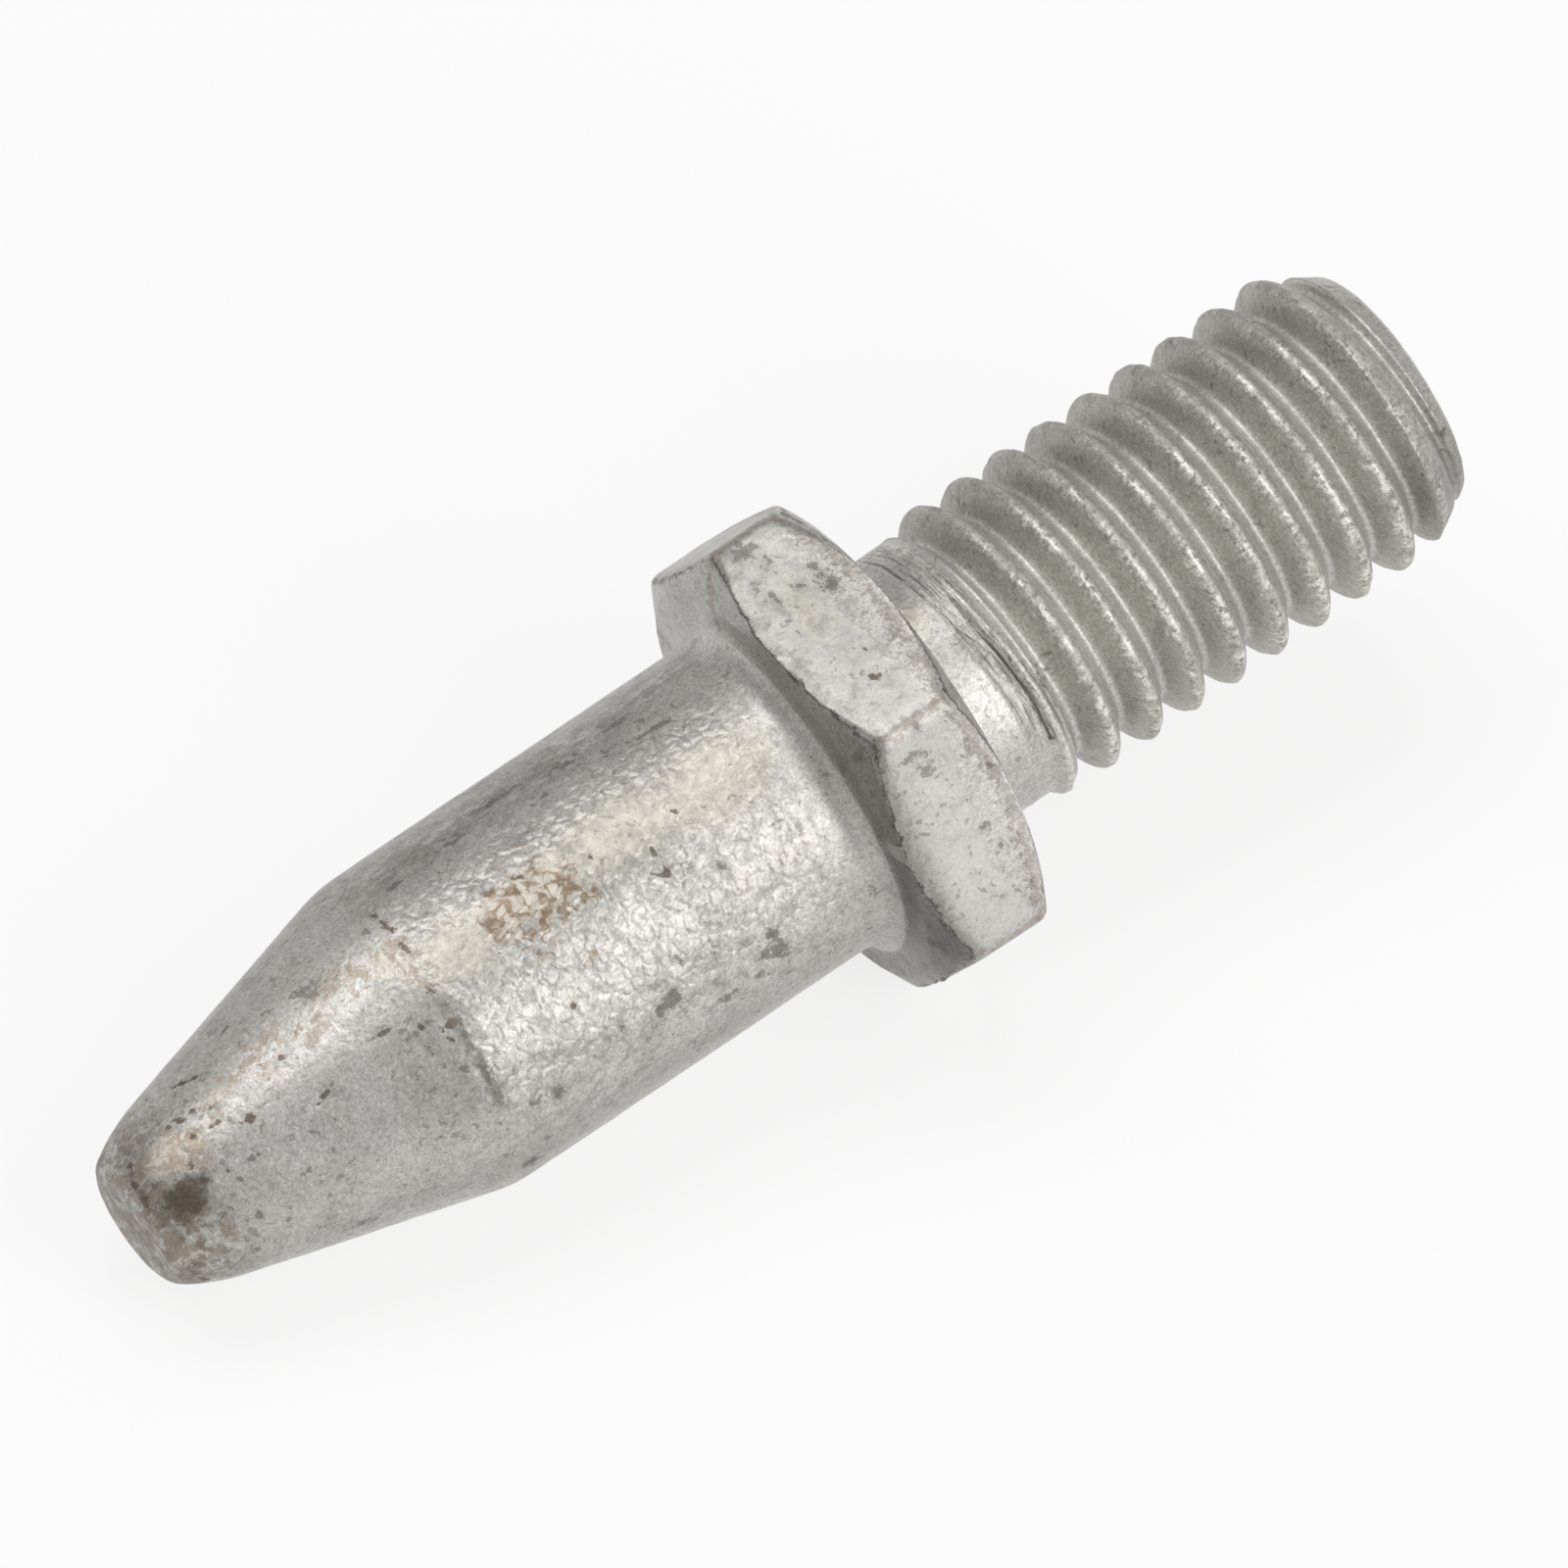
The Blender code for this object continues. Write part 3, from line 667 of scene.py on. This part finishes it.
def dress(data, mesh):
    """Wears the surface, stores what the finish needs, and lays the bolt in its place.

    The wear goes inwards, apart from the fold's low ridge.
    """
    mesh.normal_update()
    place = np.array([v.co[:] for v in mesh.verts])
    normal = np.array([v.normal[:] for v in mesh.verts])
    mesh.to_mesh(data)
    mesh.free()
    x = place[:, 0]
    r = np.hypot(place[:, 1], place[:, 2])
    a = np.arctan2(-place[:, 1], place[:, 2])
    degrees = np.degrees(a)
    on_thread = smooth_step(x, 24.6, 25.3) * smooth_step(-x, -36.5, -36.1)
    # The side the lamps light, where the thread's crests and roots get painted highlights
    lit = smooth_step(degrees, -40, 5) * smooth_step(-degrees, -130, -90)
    phase = ((x - THREAD_START_X) / THREAD_PITCH - (a - THREAD_START_ANGLE) / (2 * math.pi)) % 1.0
    crest = on_thread * smooth_step(r, 3.74, 3.86)
    near, far, corner = collar_edges(x, r, a)
    collar = smooth_step(near, 0.02, 0.1) * smooth_step(far, 0.02, 0.1) * (near < 1.99)
    # Painted shade on the collar's chamfer and face towards the pin, stronger towards the lower side
    shaded_underside = smooth_step(-near, 0.02, 0.15) * smooth_step(degrees, -70, 50)
    kinds = ("rust", "grey", "cream", "net", "light", "painted_shade", "stain", "blotch")
    rust, grey, cream, net, light, painted_shade, stain, blotch = [mark_field(kind, x, r, a) for kind in kinds]
    crack, crack_depth = line_field("crack", x, r, a, 0.07)
    groove_gap, crease_gap, ridge_gap = [np.clip(x - np.interp(degrees, *zip(*path)), -1, 1)
                                         for path in (GROOVE_PATH, CREASE_PATH, RIDGE_PATH)]
    folded = smooth_step(degrees, -75, -40) * smooth_step(-degrees, -78, -66)
    groove = np.exp(-((groove_gap / 0.07) ** 2))
    groove *= smooth_step(degrees, 0, 48) * smooth_step(-degrees, -72, -68)
    crease = np.exp(-((crease_gap / 0.06) ** 2))
    crease *= smooth_step(degrees, -75, -45) * smooth_step(-degrees, -50, -30)
    ridge = np.exp(-((ridge_gap / 0.1) ** 2))
    ridge *= smooth_step(degrees, -60, -25) * smooth_step(-degrees, -150, -120)
    nick, nick_depth = line_field("nick", x, r, a, 0.06)

    broad = noise_field(place, 0.45, 1)
    peel = noise_field(place, 1.9, 2)
    fine = noise_field(place, 4.0, 3)
    lumps = noise_field(place, 2.7, 4)
    pebbled = smooth_step(x, 8.25, 8.5) * smooth_step(-x, -18.6, -17.6)
    pebbled *= smooth_step(degrees, -25, 0) * smooth_step(-degrees, -100, -60)
    pebbled = 0.25 + 0.75 * pebbled * (1 - 0.8 * np.clip(cream, 0, 1))
    pebbled *= smooth_step(-x, -19.0, -18.4)
    # Painted shade, partly grime: a darker strip along the pin's upper side and along the cone's
    narrower = smooth_step(x, 15.5, 17.0)
    upper_shade_band = 0.8 * np.exp(-(((degrees + 34 + 4 * narrower) / (15 - 5 * narrower)) ** 2))
    upper_shade_band *= smooth_step(x, 7.6, 8.8) * smooth_step(-x, -19.2, -18.4)
    cone_shade_band = 0.4 * np.exp(-(((degrees + 42) / 9) ** 2))
    upper_shade_band += cone_shade_band * smooth_step(x, 1.5, 4.0) * smooth_step(-x, -8.8, -7.6)
    skin = PEEL_DEPTH * peel + GRAIN_DEPTH * fine
    depth = EVEN_WEAR + BROAD_WAVES * broad + skin * (1 - 0.5 * collar)
    depth += PEBBLE_DEPTH * np.abs(lumps) * pebbled
    depth += crest * (CREST_WEAR + 0.014 * lumps + 0.012 * peel)
    seam = np.exp(-(((phase - 0.77) / 0.02) ** 2)) * on_thread
    seam *= smooth_step(noise_field(place, 0.8, 5), -0.1, 0.25)
    depth += SEAM_DEPTH * seam
    pits = PIT_DEPTH * np.clip(grey, 0, 1) * (0.6 + 0.8 * lumps) + RUST_DEPTH * np.clip(rust, 0, 1)
    depth += pits * smooth_step(x, 0.3, 1.2)
    depth += crack_depth + nick_depth + GROOVE_DEPTH * groove + CREASE_DEPTH * crease
    depth -= RIDGE_HEIGHT * ridge * (0.8 + 0.6 * lumps)
    lip = np.exp(-((near / 0.13) ** 2))
    lip *= smooth_step(degrees, -75, -50) * smooth_step(-degrees, -125, -100)
    depth += lip * (LIP_DEPTH + 0.06 * fine + 0.05 * lumps)
    depth = np.maximum(depth, 0.004 - 0.12 * ridge)
    place = place - normal * depth[:, None]

    world = TIP + place[:, :1] * ALONG - place[:, 1:2] * SIDEWAYS + place[:, 2:3] * UPWARD
    world *= MM
    world[:, 2] = np.maximum(world[:, 2], 0.0)
    data.vertices.foreach_set("co", world.ravel())
    crest_gap = np.clip((phase - 0.75) * THREAD_PITCH, -0.3, 0.3)
    root_gap = np.clip((phase - 0.25) * THREAD_PITCH, -0.3, 0.3)
    border = np.clip(x - CONE_LENGTH, -1.0, 1.0)
    store(data, "marks", rust, grey, cream, net)
    store(data, "lines", crack, nick, upper_shade_band, pebbled)
    store(data, "fold", groove_gap, crease_gap, ridge_gap, folded)
    store(data, "along", np.radians(degrees) * PITCH_RADIUS, groove, crease, ridge)
    store(data, "edges", near, far, corner, border)
    store(data, "helix", crest_gap, root_gap, on_thread, seam)
    tip = smooth_step(-x, -2.4, -0.4) * (1 - 0.7 * np.clip(cream, 0, 1))
    # Its third channel is the lit side, which places painted highlights on the thread
    store(data, "wear", stain, blotch, lit, tip)
    neck = smooth_step(x, 22.75, 22.95) * smooth_step(-x, -24.5, -24.0)
    # Its fourth channel is painted light and shade: lighter where highlights fall, darker where the lamps
    # leave shade and on the collar's side towards the pin
    store(data, "form", crest, collar, neck, light - painted_shade - 1.45 * shaded_underside)
    data.update()
    data.shade_smooth()


def store(data, name, *fields):
    layer = data.attributes.new(name, "FLOAT_COLOR", "POINT")
    layer.data.foreach_set("color", np.column_stack(fields).ravel())


class Finish:
    """A short way to build a material's nodes."""

    def __init__(self, name):
        self.material = bpy.data.materials.new(name)
        self.material.use_nodes = True
        self.tree = self.material.node_tree
        self.shader = self.tree.nodes["Principled BSDF"]

    def put(self, kind, inputs=None, **settings):
        node = self.tree.nodes.new(kind)
        for key, value in settings.items():
            setattr(node, key, value)
        for key, value in (inputs or {}).items():
            self.give(node.inputs[key], value)
        return node

    def give(self, socket, value):
        if isinstance(value, bpy.types.NodeSocket):
            self.tree.links.new(value, socket)
        else:
            socket.default_value = value

    def noise(self, where, scale, detail, roughness):
        node = self.put("ShaderNodeTexNoise", {"Vector": where, "Scale": scale, "Detail": detail,
                                               "Roughness": roughness})
        return node.outputs["Fac"]

    def math(self, operation, first, second=0.0, clamp=False):
        node = self.put("ShaderNodeMath", {0: first, 1: second}, operation=operation, use_clamp=clamp)
        return node.outputs[0]

    def fit(self, value, low, high, to_low=0.0, to_high=1.0):
        ends = {"From Min": low, "From Max": high, "To Min": to_low, "To Max": to_high}
        node = self.put("ShaderNodeMapRange", {"Value": value, **ends}, interpolation_type="SMOOTHSTEP")
        return node.outputs["Result"]

    def mix(self, amount, first, second, blend="MIX"):
        node = self.put("ShaderNodeMix", data_type="RGBA", blend_type=blend)
        self.give(node.inputs[0], amount)
        self.give(node.inputs[6], first)
        self.give(node.inputs[7], second)
        return node.outputs[2]


def zinc_finish():
    finish = Finish("zinc_plated_steel_worn")
    coordinates = finish.put("ShaderNodeTexCoord").outputs["Object"]

    def vectors(operation, inputs):
        return finish.put("ShaderNodeVectorMath", inputs, operation=operation).outputs[0]

    where = vectors("SCALE", {0: coordinates, "Scale": 1 / MM})

    def channels(name):
        node = finish.put("ShaderNodeAttribute", attribute_name=name)
        split = finish.put("ShaderNodeSeparateColor", {0: node.outputs["Color"]})
        return [*split.outputs[:3], node.outputs["Alpha"]]

    rust, grey, cream, net = channels("marks")
    crack, nick, upper_shade_band, pebbled = channels("lines")
    groove_gap, crease_gap, ridge_gap, folded = channels("fold")
    around, groove, crease, ridge = channels("along")
    near, far, corner, border = channels("edges")
    crest_gap, root_gap, on_thread, seam = channels("helix")
    stain, blotch, lit, tip = channels("wear")
    crest, collar, neck, painted_light_and_shade = channels("form")

    def times(*values):
        result = values[0]
        for value in values[1:]:
            result = finish.math("MULTIPLY", result, value)
        return result

    def plus(*values):
        result = values[0]
        for value in values[1:]:
            result = finish.math("ADD", result, value)
        return result

    def less(value):
        return finish.math("SUBTRACT", 1.0, value, True)

    bend = finish.put("ShaderNodeTexNoise", {"Vector": where, "Scale": 2.6, "Detail": 1.0})
    bend = vectors("SUBTRACT", {0: bend.outputs["Color"], 1: (0.5, 0.5, 0.5)})
    bend = vectors("SCALE", {0: bend, "Scale": 0.4})
    bent = vectors("ADD", {0: where, 1: bend})
    drawn = vectors("MULTIPLY", {0: bent, 1: (0.4, 1.0, 1.0)})

    pebble = finish.put("ShaderNodeTexVoronoi", {"Vector": bent, "Scale": 3.7}, feature="F1")
    dome = finish.fit(pebble.outputs["Distance"], 0.78, 0.1)
    gap = finish.fit(pebble.outputs["Distance"], 0.5, 0.68)
    facet = finish.put("ShaderNodeSeparateColor", {0: pebble.outputs["Color"]}).outputs[0]
    cloud = finish.noise(where, 0.55, 3.0, 0.6)
    tint = finish.noise(bent, 0.9, 3.0, 0.55)
    mottle = finish.noise(bent, 2.2, 4.0, 0.65)
    grain = finish.noise(where, 8.0, 2.0, 0.7)
    dust = finish.noise(where, 15.0, 1.0, 0.6)
    speck = finish.noise(bent, 4.5, 2.0, 0.6)
    breaker = finish.noise(where, 4.0, 4.0, 0.75)
    streak = finish.noise(drawn, 2.6, 4.0, 0.65)
    winding = finish.noise(bent, 2.7, 1.0, 0.5)

    def broken(mask, low, high, amount):
        shaken = finish.math("ADD", mask, finish.fit(breaker, 0.3, 0.7, -amount, amount))
        return finish.fit(shaken, low, high)

    def paint(amount, shade):
        nonlocal colour
        colour = finish.mix(amount, colour, (*shade, 1))

    # Zinc, lighter and darker, warmer and cooler in patches
    colour = finish.mix(finish.fit(cloud, 0.3, 0.7), (0.51, 0.489, 0.455, 1), (0.585, 0.568, 0.54, 1))
    paint(finish.fit(tint, 0.55, 0.75, 0.0, 0.5), (0.55, 0.515, 0.48))
    paint(finish.fit(tint, 0.45, 0.25, 0.0, 0.5), (0.48, 0.485, 0.46))
    paint(times(collar, 0.8), (0.555, 0.54, 0.51))
    paint(times(neck, 0.5), (0.56, 0.55, 0.525))
    paint(times(on_thread, 0.75), (0.495, 0.48, 0.44))
    paint(times(broken(cream, 0.15, 0.65, 0.2), 0.85), (0.59, 0.555, 0.48))

    patchy = finish.fit(mottle, 0.47, 0.54)
    paint(times(broken(blotch, 0.3, 0.7, 0.3), patchy, 0.85), (0.42, 0.34, 0.265))

    # Grime in the pits and between the pebbles of the coating, and painted shade, partly grime, along the
    # pin's upper side
    between = times(gap, pebbled, finish.fit(mottle, 0.35, 0.6, 0.3, 1.0))
    paint(times(between, 0.64), (0.31, 0.295, 0.275))
    paint(finish.fit(mottle, 0.5, 0.7, 0.0, 0.5), (0.36, 0.345, 0.32))
    cone = finish.fit(border, 0.1, -0.2)
    flecks = plus(speck, finish.fit(cloud, 0.35, 0.65, 0.05, -0.03))
    flecks = plus(flecks, times(upper_shade_band, 0.05), times(tip, 0.07), times(cone, 0.025))
    paint(finish.fit(flecks, 0.64, 0.72, 0.0, 0.6), (0.22, 0.20, 0.18))
    # Painted shade, partly grime, streaked along the pin's upper side
    paint(times(upper_shade_band, finish.fit(streak, 0.36, 0.56, 0.15, 0.9)), (0.25, 0.24, 0.215))
    paint(times(broken(grey, 0.4, 0.55, 0.45), plus(0.8, times(collar, -0.12))), (0.19, 0.18, 0.165))

    # Brown grime round the tip
    dirty = times(tip, finish.fit(mottle, 0.37, 0.54))
    paint(times(dirty, 0.8), (0.265, 0.225, 0.185))
    stained = finish.fit(plus(stain, finish.fit(breaker, 0.25, 0.75, -0.35, 0.35)), 0.2, 0.95)
    paint(times(stained, 0.9), (0.125, 0.10, 0.075))

    # Rust
    loops = finish.math("ABSOLUTE", finish.math("SUBTRACT", winding, 0.5))
    loops = plus(loops, finish.fit(speck, 0.35, 0.65, 0.05, -0.06))
    loops = plus(less(finish.fit(loops, 0.01, 0.1)), times(finish.fit(mottle, 0.5, 0.58), 0.8))
    netted = broken(net, 0.3, 0.8, 0.3)
    paint(times(netted, 0.2), (0.40, 0.33, 0.25))
    paint(times(netted, finish.fit(loops, 0.0, 1.0), 0.85), (0.30, 0.225, 0.15))
    paint(times(netted, finish.fit(loops, 0.75, 1.5), 0.6), (0.17, 0.12, 0.08))
    paint(times(broken(rust, 0.4, 0.55, 0.4), 0.88), (0.145, 0.11, 0.08))
    paint(times(broken(crack, 0.45, 0.7, 0.25), 0.85), (0.13, 0.11, 0.085))

    # Lines along the collar's edges and corners: brown dirt on the flats beside both edges and along the
    # corners, a painted shadow just past the far edge, a light line on the far edge and a dark line just past
    # the near edge; between them, a painted shadow along the shoulder of the pin
    def edge_line(distance, shift, width, amount, wander=0.14):
        wobble = finish.fit(breaker, 0.25, 0.75, -wander, wander)
        gap = finish.math("ABSOLUTE", plus(distance, shift, wobble))
        line_mask = less(finish.fit(gap, width * 0.4, width))
        return times(line_mask, finish.fit(mottle, 0.3, 0.55, 0.35, 1.0), amount)

    paint(edge_line(near, -0.2, 0.22, 0.4, 0.25), (0.28, 0.245, 0.21))
    paint(edge_line(far, -0.22, 0.24, 0.6, 0.25), (0.27, 0.23, 0.20))
    paint(edge_line(corner, 0.0, 0.2, 0.55, 0.2), (0.34, 0.275, 0.235))
    # Painted shadow: a dark line just past the far edge
    paint(edge_line(far, 0.12, 0.12, 0.8), (0.15, 0.135, 0.12))
    # Painted shadow: a dark line along the pin's shoulder, between about 16 and 68 degrees round
    shoulder_shadow = edge_line(border, 0.12, 0.2, 0.8, 0.12)
    shoulder_shadow = times(shoulder_shadow, finish.fit(around, 1.0, 1.6), finish.fit(around, 4.3, 3.8))
    paint(shoulder_shadow, (0.24, 0.225, 0.20))
    paint(edge_line(far, 0.0, 0.08, 0.5, 0.08), (0.74, 0.72, 0.68))
    paint(edge_line(near, 0.03, 0.12, 0.9), (0.12, 0.105, 0.09))

    # Thread: painted highlights on its lit side, rough and speckled on the crests, smooth in the roots, and a
    # dark lap seam
    clump = finish.noise(where, 1.5, 2.0, 0.6)
    crumb = finish.noise(where, 6.0, 2.0, 0.7)
    crest_shift = finish.math("ADD", crest_gap, finish.fit(breaker, 0.3, 0.7, -0.12, 0.12))
    crest_shift = finish.math("ABSOLUTE", crest_shift)
    crest_highlight_band = times(less(finish.fit(crest_shift, 0.12, 0.25)), lit, on_thread)
    paint(times(crest_highlight_band, finish.fit(crumb, 0.42, 0.52), 0.7), (0.62, 0.595, 0.535))
    paint(times(crest_highlight_band, finish.fit(crumb, 0.45, 0.36), 0.65), (0.30, 0.285, 0.25))
    crest_highlight_line = times(less(finish.fit(crest_shift, 0.08, 0.2)), lit, on_thread)
    highlight_clumps = times(finish.fit(clump, 0.49, 0.55), finish.fit(crumb, 0.4, 0.5))
    paint(times(crest_highlight_line, highlight_clumps, 0.9), (0.80, 0.78, 0.72))
    root_highlight_line = less(finish.fit(finish.math("ABSOLUTE", root_gap), 0.03, 0.13))
    root_light = times(root_highlight_line, on_thread, lit, finish.fit(breaker, 0.3, 0.6, 0.3, 0.7))
    paint(root_light, (0.60, 0.59, 0.555))
    paint(times(seam, 0.6), (0.17, 0.155, 0.135))
    paint(times(finish.fit(nick, 0.3, 0.9), 0.7), (0.16, 0.15, 0.135))

    # The fold where the thread starts: many fine lines painted in light and shade, painted shade in its one
    # dark groove and in a crease, and a painted highlight on its low ridge
    lengthwise = finish.put("ShaderNodeCombineXYZ", {0: times(groove_gap, 8.0), 1: times(around, 0.6)})
    lines = finish.noise(lengthwise.outputs[0], 1.0, 3.0, 0.65)
    fold_zone = times(finish.fit(finish.math("ABSOLUTE", plus(groove_gap, 0.05)), 0.52, 0.3), folded)
    paint(times(fold_zone, finish.fit(lines, 0.5, 0.36), 0.8), (0.19, 0.18, 0.16))
    paint(times(fold_zone, finish.fit(lines, 0.5, 0.62), 0.7), (0.68, 0.66, 0.62))
    # Painted shade in the crease and the groove
    recess_shade = less(finish.fit(finish.math("ABSOLUTE", crease_gap), 0.015, 0.05))
    paint(times(recess_shade, crease, finish.fit(breaker, 0.35, 0.55), 0.8), (0.17, 0.155, 0.135))
    recess_shade = less(finish.fit(finish.math("ABSOLUTE", groove_gap), 0.02, 0.06))
    paint(times(recess_shade, finish.fit(groove, 0.2, 0.5), 0.9), (0.11, 0.10, 0.09))
    # Painted highlight on the low ridge
    ridge_highlight = less(finish.fit(finish.math("ABSOLUTE", ridge_gap), 0.04, 0.14))
    ridge_highlight = times(ridge_highlight, finish.fit(ridge, 0.1, 0.4))
    paint(times(ridge_highlight, finish.fit(breaker, 0.38, 0.55), 0.8), (0.74, 0.72, 0.68))

    # Painted highlights and painted shade, single pebbles, and a fine grain all over
    smooth = finish.fit(plus(collar, times(cream, 0.7)), 0.0, 1.0, 1.0, 0.45)
    salt = plus(finish.fit(dust, 0.3, 0.7, -0.13, 0.13), finish.fit(grain, 0.3, 0.7, -0.12, 0.12))
    salt = plus(1.0, times(salt, smooth))
    # Painted light and shade lighten and darken the colour here
    salt = times(salt, plus(1.0, times(painted_light_and_shade, 0.26)))
    salt = times(salt, plus(1.0, times(plus(facet, -0.5), pebbled, 0.22)))
    shade = finish.put("ShaderNodeCombineColor", {0: salt, 1: salt, 2: salt}).outputs[0]
    colour = finish.mix(1.0, colour, shade, "MULTIPLY")
    finish.give(finish.shader.inputs["Base Color"], colour)

    rough = finish.fit(mottle, 0.3, 0.75, 0.38, 0.5)
    rough = finish.math("ADD", rough, times(finish.math("ADD", rust, grey, True), 0.2), True)
    rough = plus(rough, times(on_thread, 0.06), times(pebbled, 0.03))
    rough = plus(rough, times(crest, finish.fit(clump, 0.42, 0.58, 0.16, -0.04)))
    finish.give(finish.shader.inputs["Roughness"], rough)
    matte = times(plus(times(painted_light_and_shade, 0.5), times(cream, 0.6)), 0.5)
    finish.give(finish.shader.inputs["Metallic"], finish.fit(matte, 0.0, 0.5, 0.6, 0.35))

    height = plus(times(grain, 0.6), times(dust, 0.25), times(speck, 0.5))
    height = plus(times(height, smooth), times(dome, pebbled, 1.65), times(crest, breaker, 2.0))
    height = plus(height, times(fold_zone, lines, 6.0))
    bump = finish.put("ShaderNodeBump", {"Height": height, "Strength": 1.0, "Distance": 0.000014})
    finish.give(finish.shader.inputs["Normal"], bump.outputs[0])
    return finish.material


def make_floor():
    data = bpy.data.meshes.new("floor")
    half = FLOOR_HALF_SIZE
    corners = [(-half, -half, 0), (half, -half, 0), (half, half, 0), (-half, half, 0)]
    data.from_pydata(corners, [], [(0, 1, 2, 3)])
    floor = bpy.data.objects.new("floor", data)
    bpy.context.collection.objects.link(floor)
    finish = Finish("white_floor")
    shader = finish.shader
    shader.inputs["Base Color"].default_value = (0.93, 0.93, 0.93, 1)
    shader.inputs["Roughness"].default_value = 0.9
    shader.inputs["Specular IOR Level"].default_value = 0.0
    path = finish.put("ShaderNodeLightPath").outputs
    seen = finish.math("MAXIMUM", path["Is Camera Ray"], path["Is Glossy Ray"])
    seen = finish.math("MAXIMUM", seen, path["Is Transmission Ray"])
    white = finish.put("ShaderNodeEmission", {"Color": (1, 1, 1, 1), "Strength": 1.0})
    blend = finish.put("ShaderNodeMixShader", {0: finish.math("MULTIPLY", seen, FLOOR_WHITENESS),
                                               1: shader.outputs[0], 2: white.outputs[0]})
    output = finish.tree.nodes["Material Output"]
    finish.give(output.inputs["Surface"], blend.outputs[0])
    data.materials.append(finish.material)


def soft_light(name, direction, size, turn, power):
    """A rectangular softbox a metre away that faces the bolt, turned about its middle."""
    lamp = bpy.data.lights.new(name, "AREA")
    lamp.shape = "RECTANGLE"
    lamp.size, lamp.size_y = size
    lamp.energy = power
    light = bpy.data.objects.new(name, lamp)
    bpy.context.collection.objects.link(light)
    toward = Vector(direction).normalized()
    facing = toward.to_track_quat("Z", "Y").to_matrix().to_4x4()
    light.matrix_world = Matrix.Translation(toward) @ facing @ Matrix.Rotation(math.radians(turn), 4, "Z")
    light.visible_camera = False


def light_scene():
    world = bpy.data.worlds.new("studio")
    bpy.context.scene.world = world
    world.use_nodes = True
    background = world.node_tree.nodes["Background"]
    background.inputs["Color"].default_value = (1, 1, 1, 1)
    background.inputs["Strength"].default_value = SKY_STRENGTH
    soft_light("front_softbox", (0.3, -0.79, 0.6), (0.5, 1.2), 0, 5.4)
    soft_light("top_softbox", (-0.08, 0.3, 0.95), (0.9, 0.5), -30, 4.3)


def place_camera():
    """Looks at the bolt as the photograph does, from about a metre away through a long lens."""
    outward = math.cos(VIEW_ANGLE) * UPWARD + math.sin(VIEW_ANGLE) * SIDEWAYS
    across = math.cos(VIEW_ANGLE) * SIDEWAYS - math.sin(VIEW_ANGLE) * UPWARD
    back = math.cos(VIEW_TILT) * outward - math.sin(VIEW_TILT) * ALONG
    ahead = math.cos(VIEW_TILT) * ALONG + math.sin(VIEW_TILT) * outward
    right = math.cos(VIEW_ROLL) * ahead + math.sin(VIEW_ROLL) * across
    up = math.sin(VIEW_ROLL) * ahead - math.cos(VIEW_ROLL) * across
    target = TIP + VIEW_X * ALONG + FRAME_OFFSET[0] * right + FRAME_OFFSET[1] * up
    eye = target + back * FRAME_WIDTH * LENS / SENSOR
    lens = bpy.data.cameras.new("camera")
    lens.lens = LENS
    lens.sensor_width = SENSOR
    camera = bpy.data.objects.new("camera", lens)
    bpy.context.collection.objects.link(camera)
    axes = np.column_stack([right, up, back])
    rows = [[*row, place * MM] for row, place in zip(axes, eye)]
    camera.matrix_world = Matrix(rows + [[0, 0, 0, 1]])
    bpy.context.scene.camera = camera


def make_bolt():
    data, mesh = bolt_mesh()
    dress(data, mesh)
    data.materials.append(zinc_finish())
    bolt = bpy.data.objects.new("bolt_surface", data)
    bpy.context.collection.objects.link(bolt)
    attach(bolt, "root")
    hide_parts("brake_disc_bolt")


make_bolt()
make_floor()
light_scene()
place_camera()
bpy.context.scene.view_settings.view_transform = "Standard"
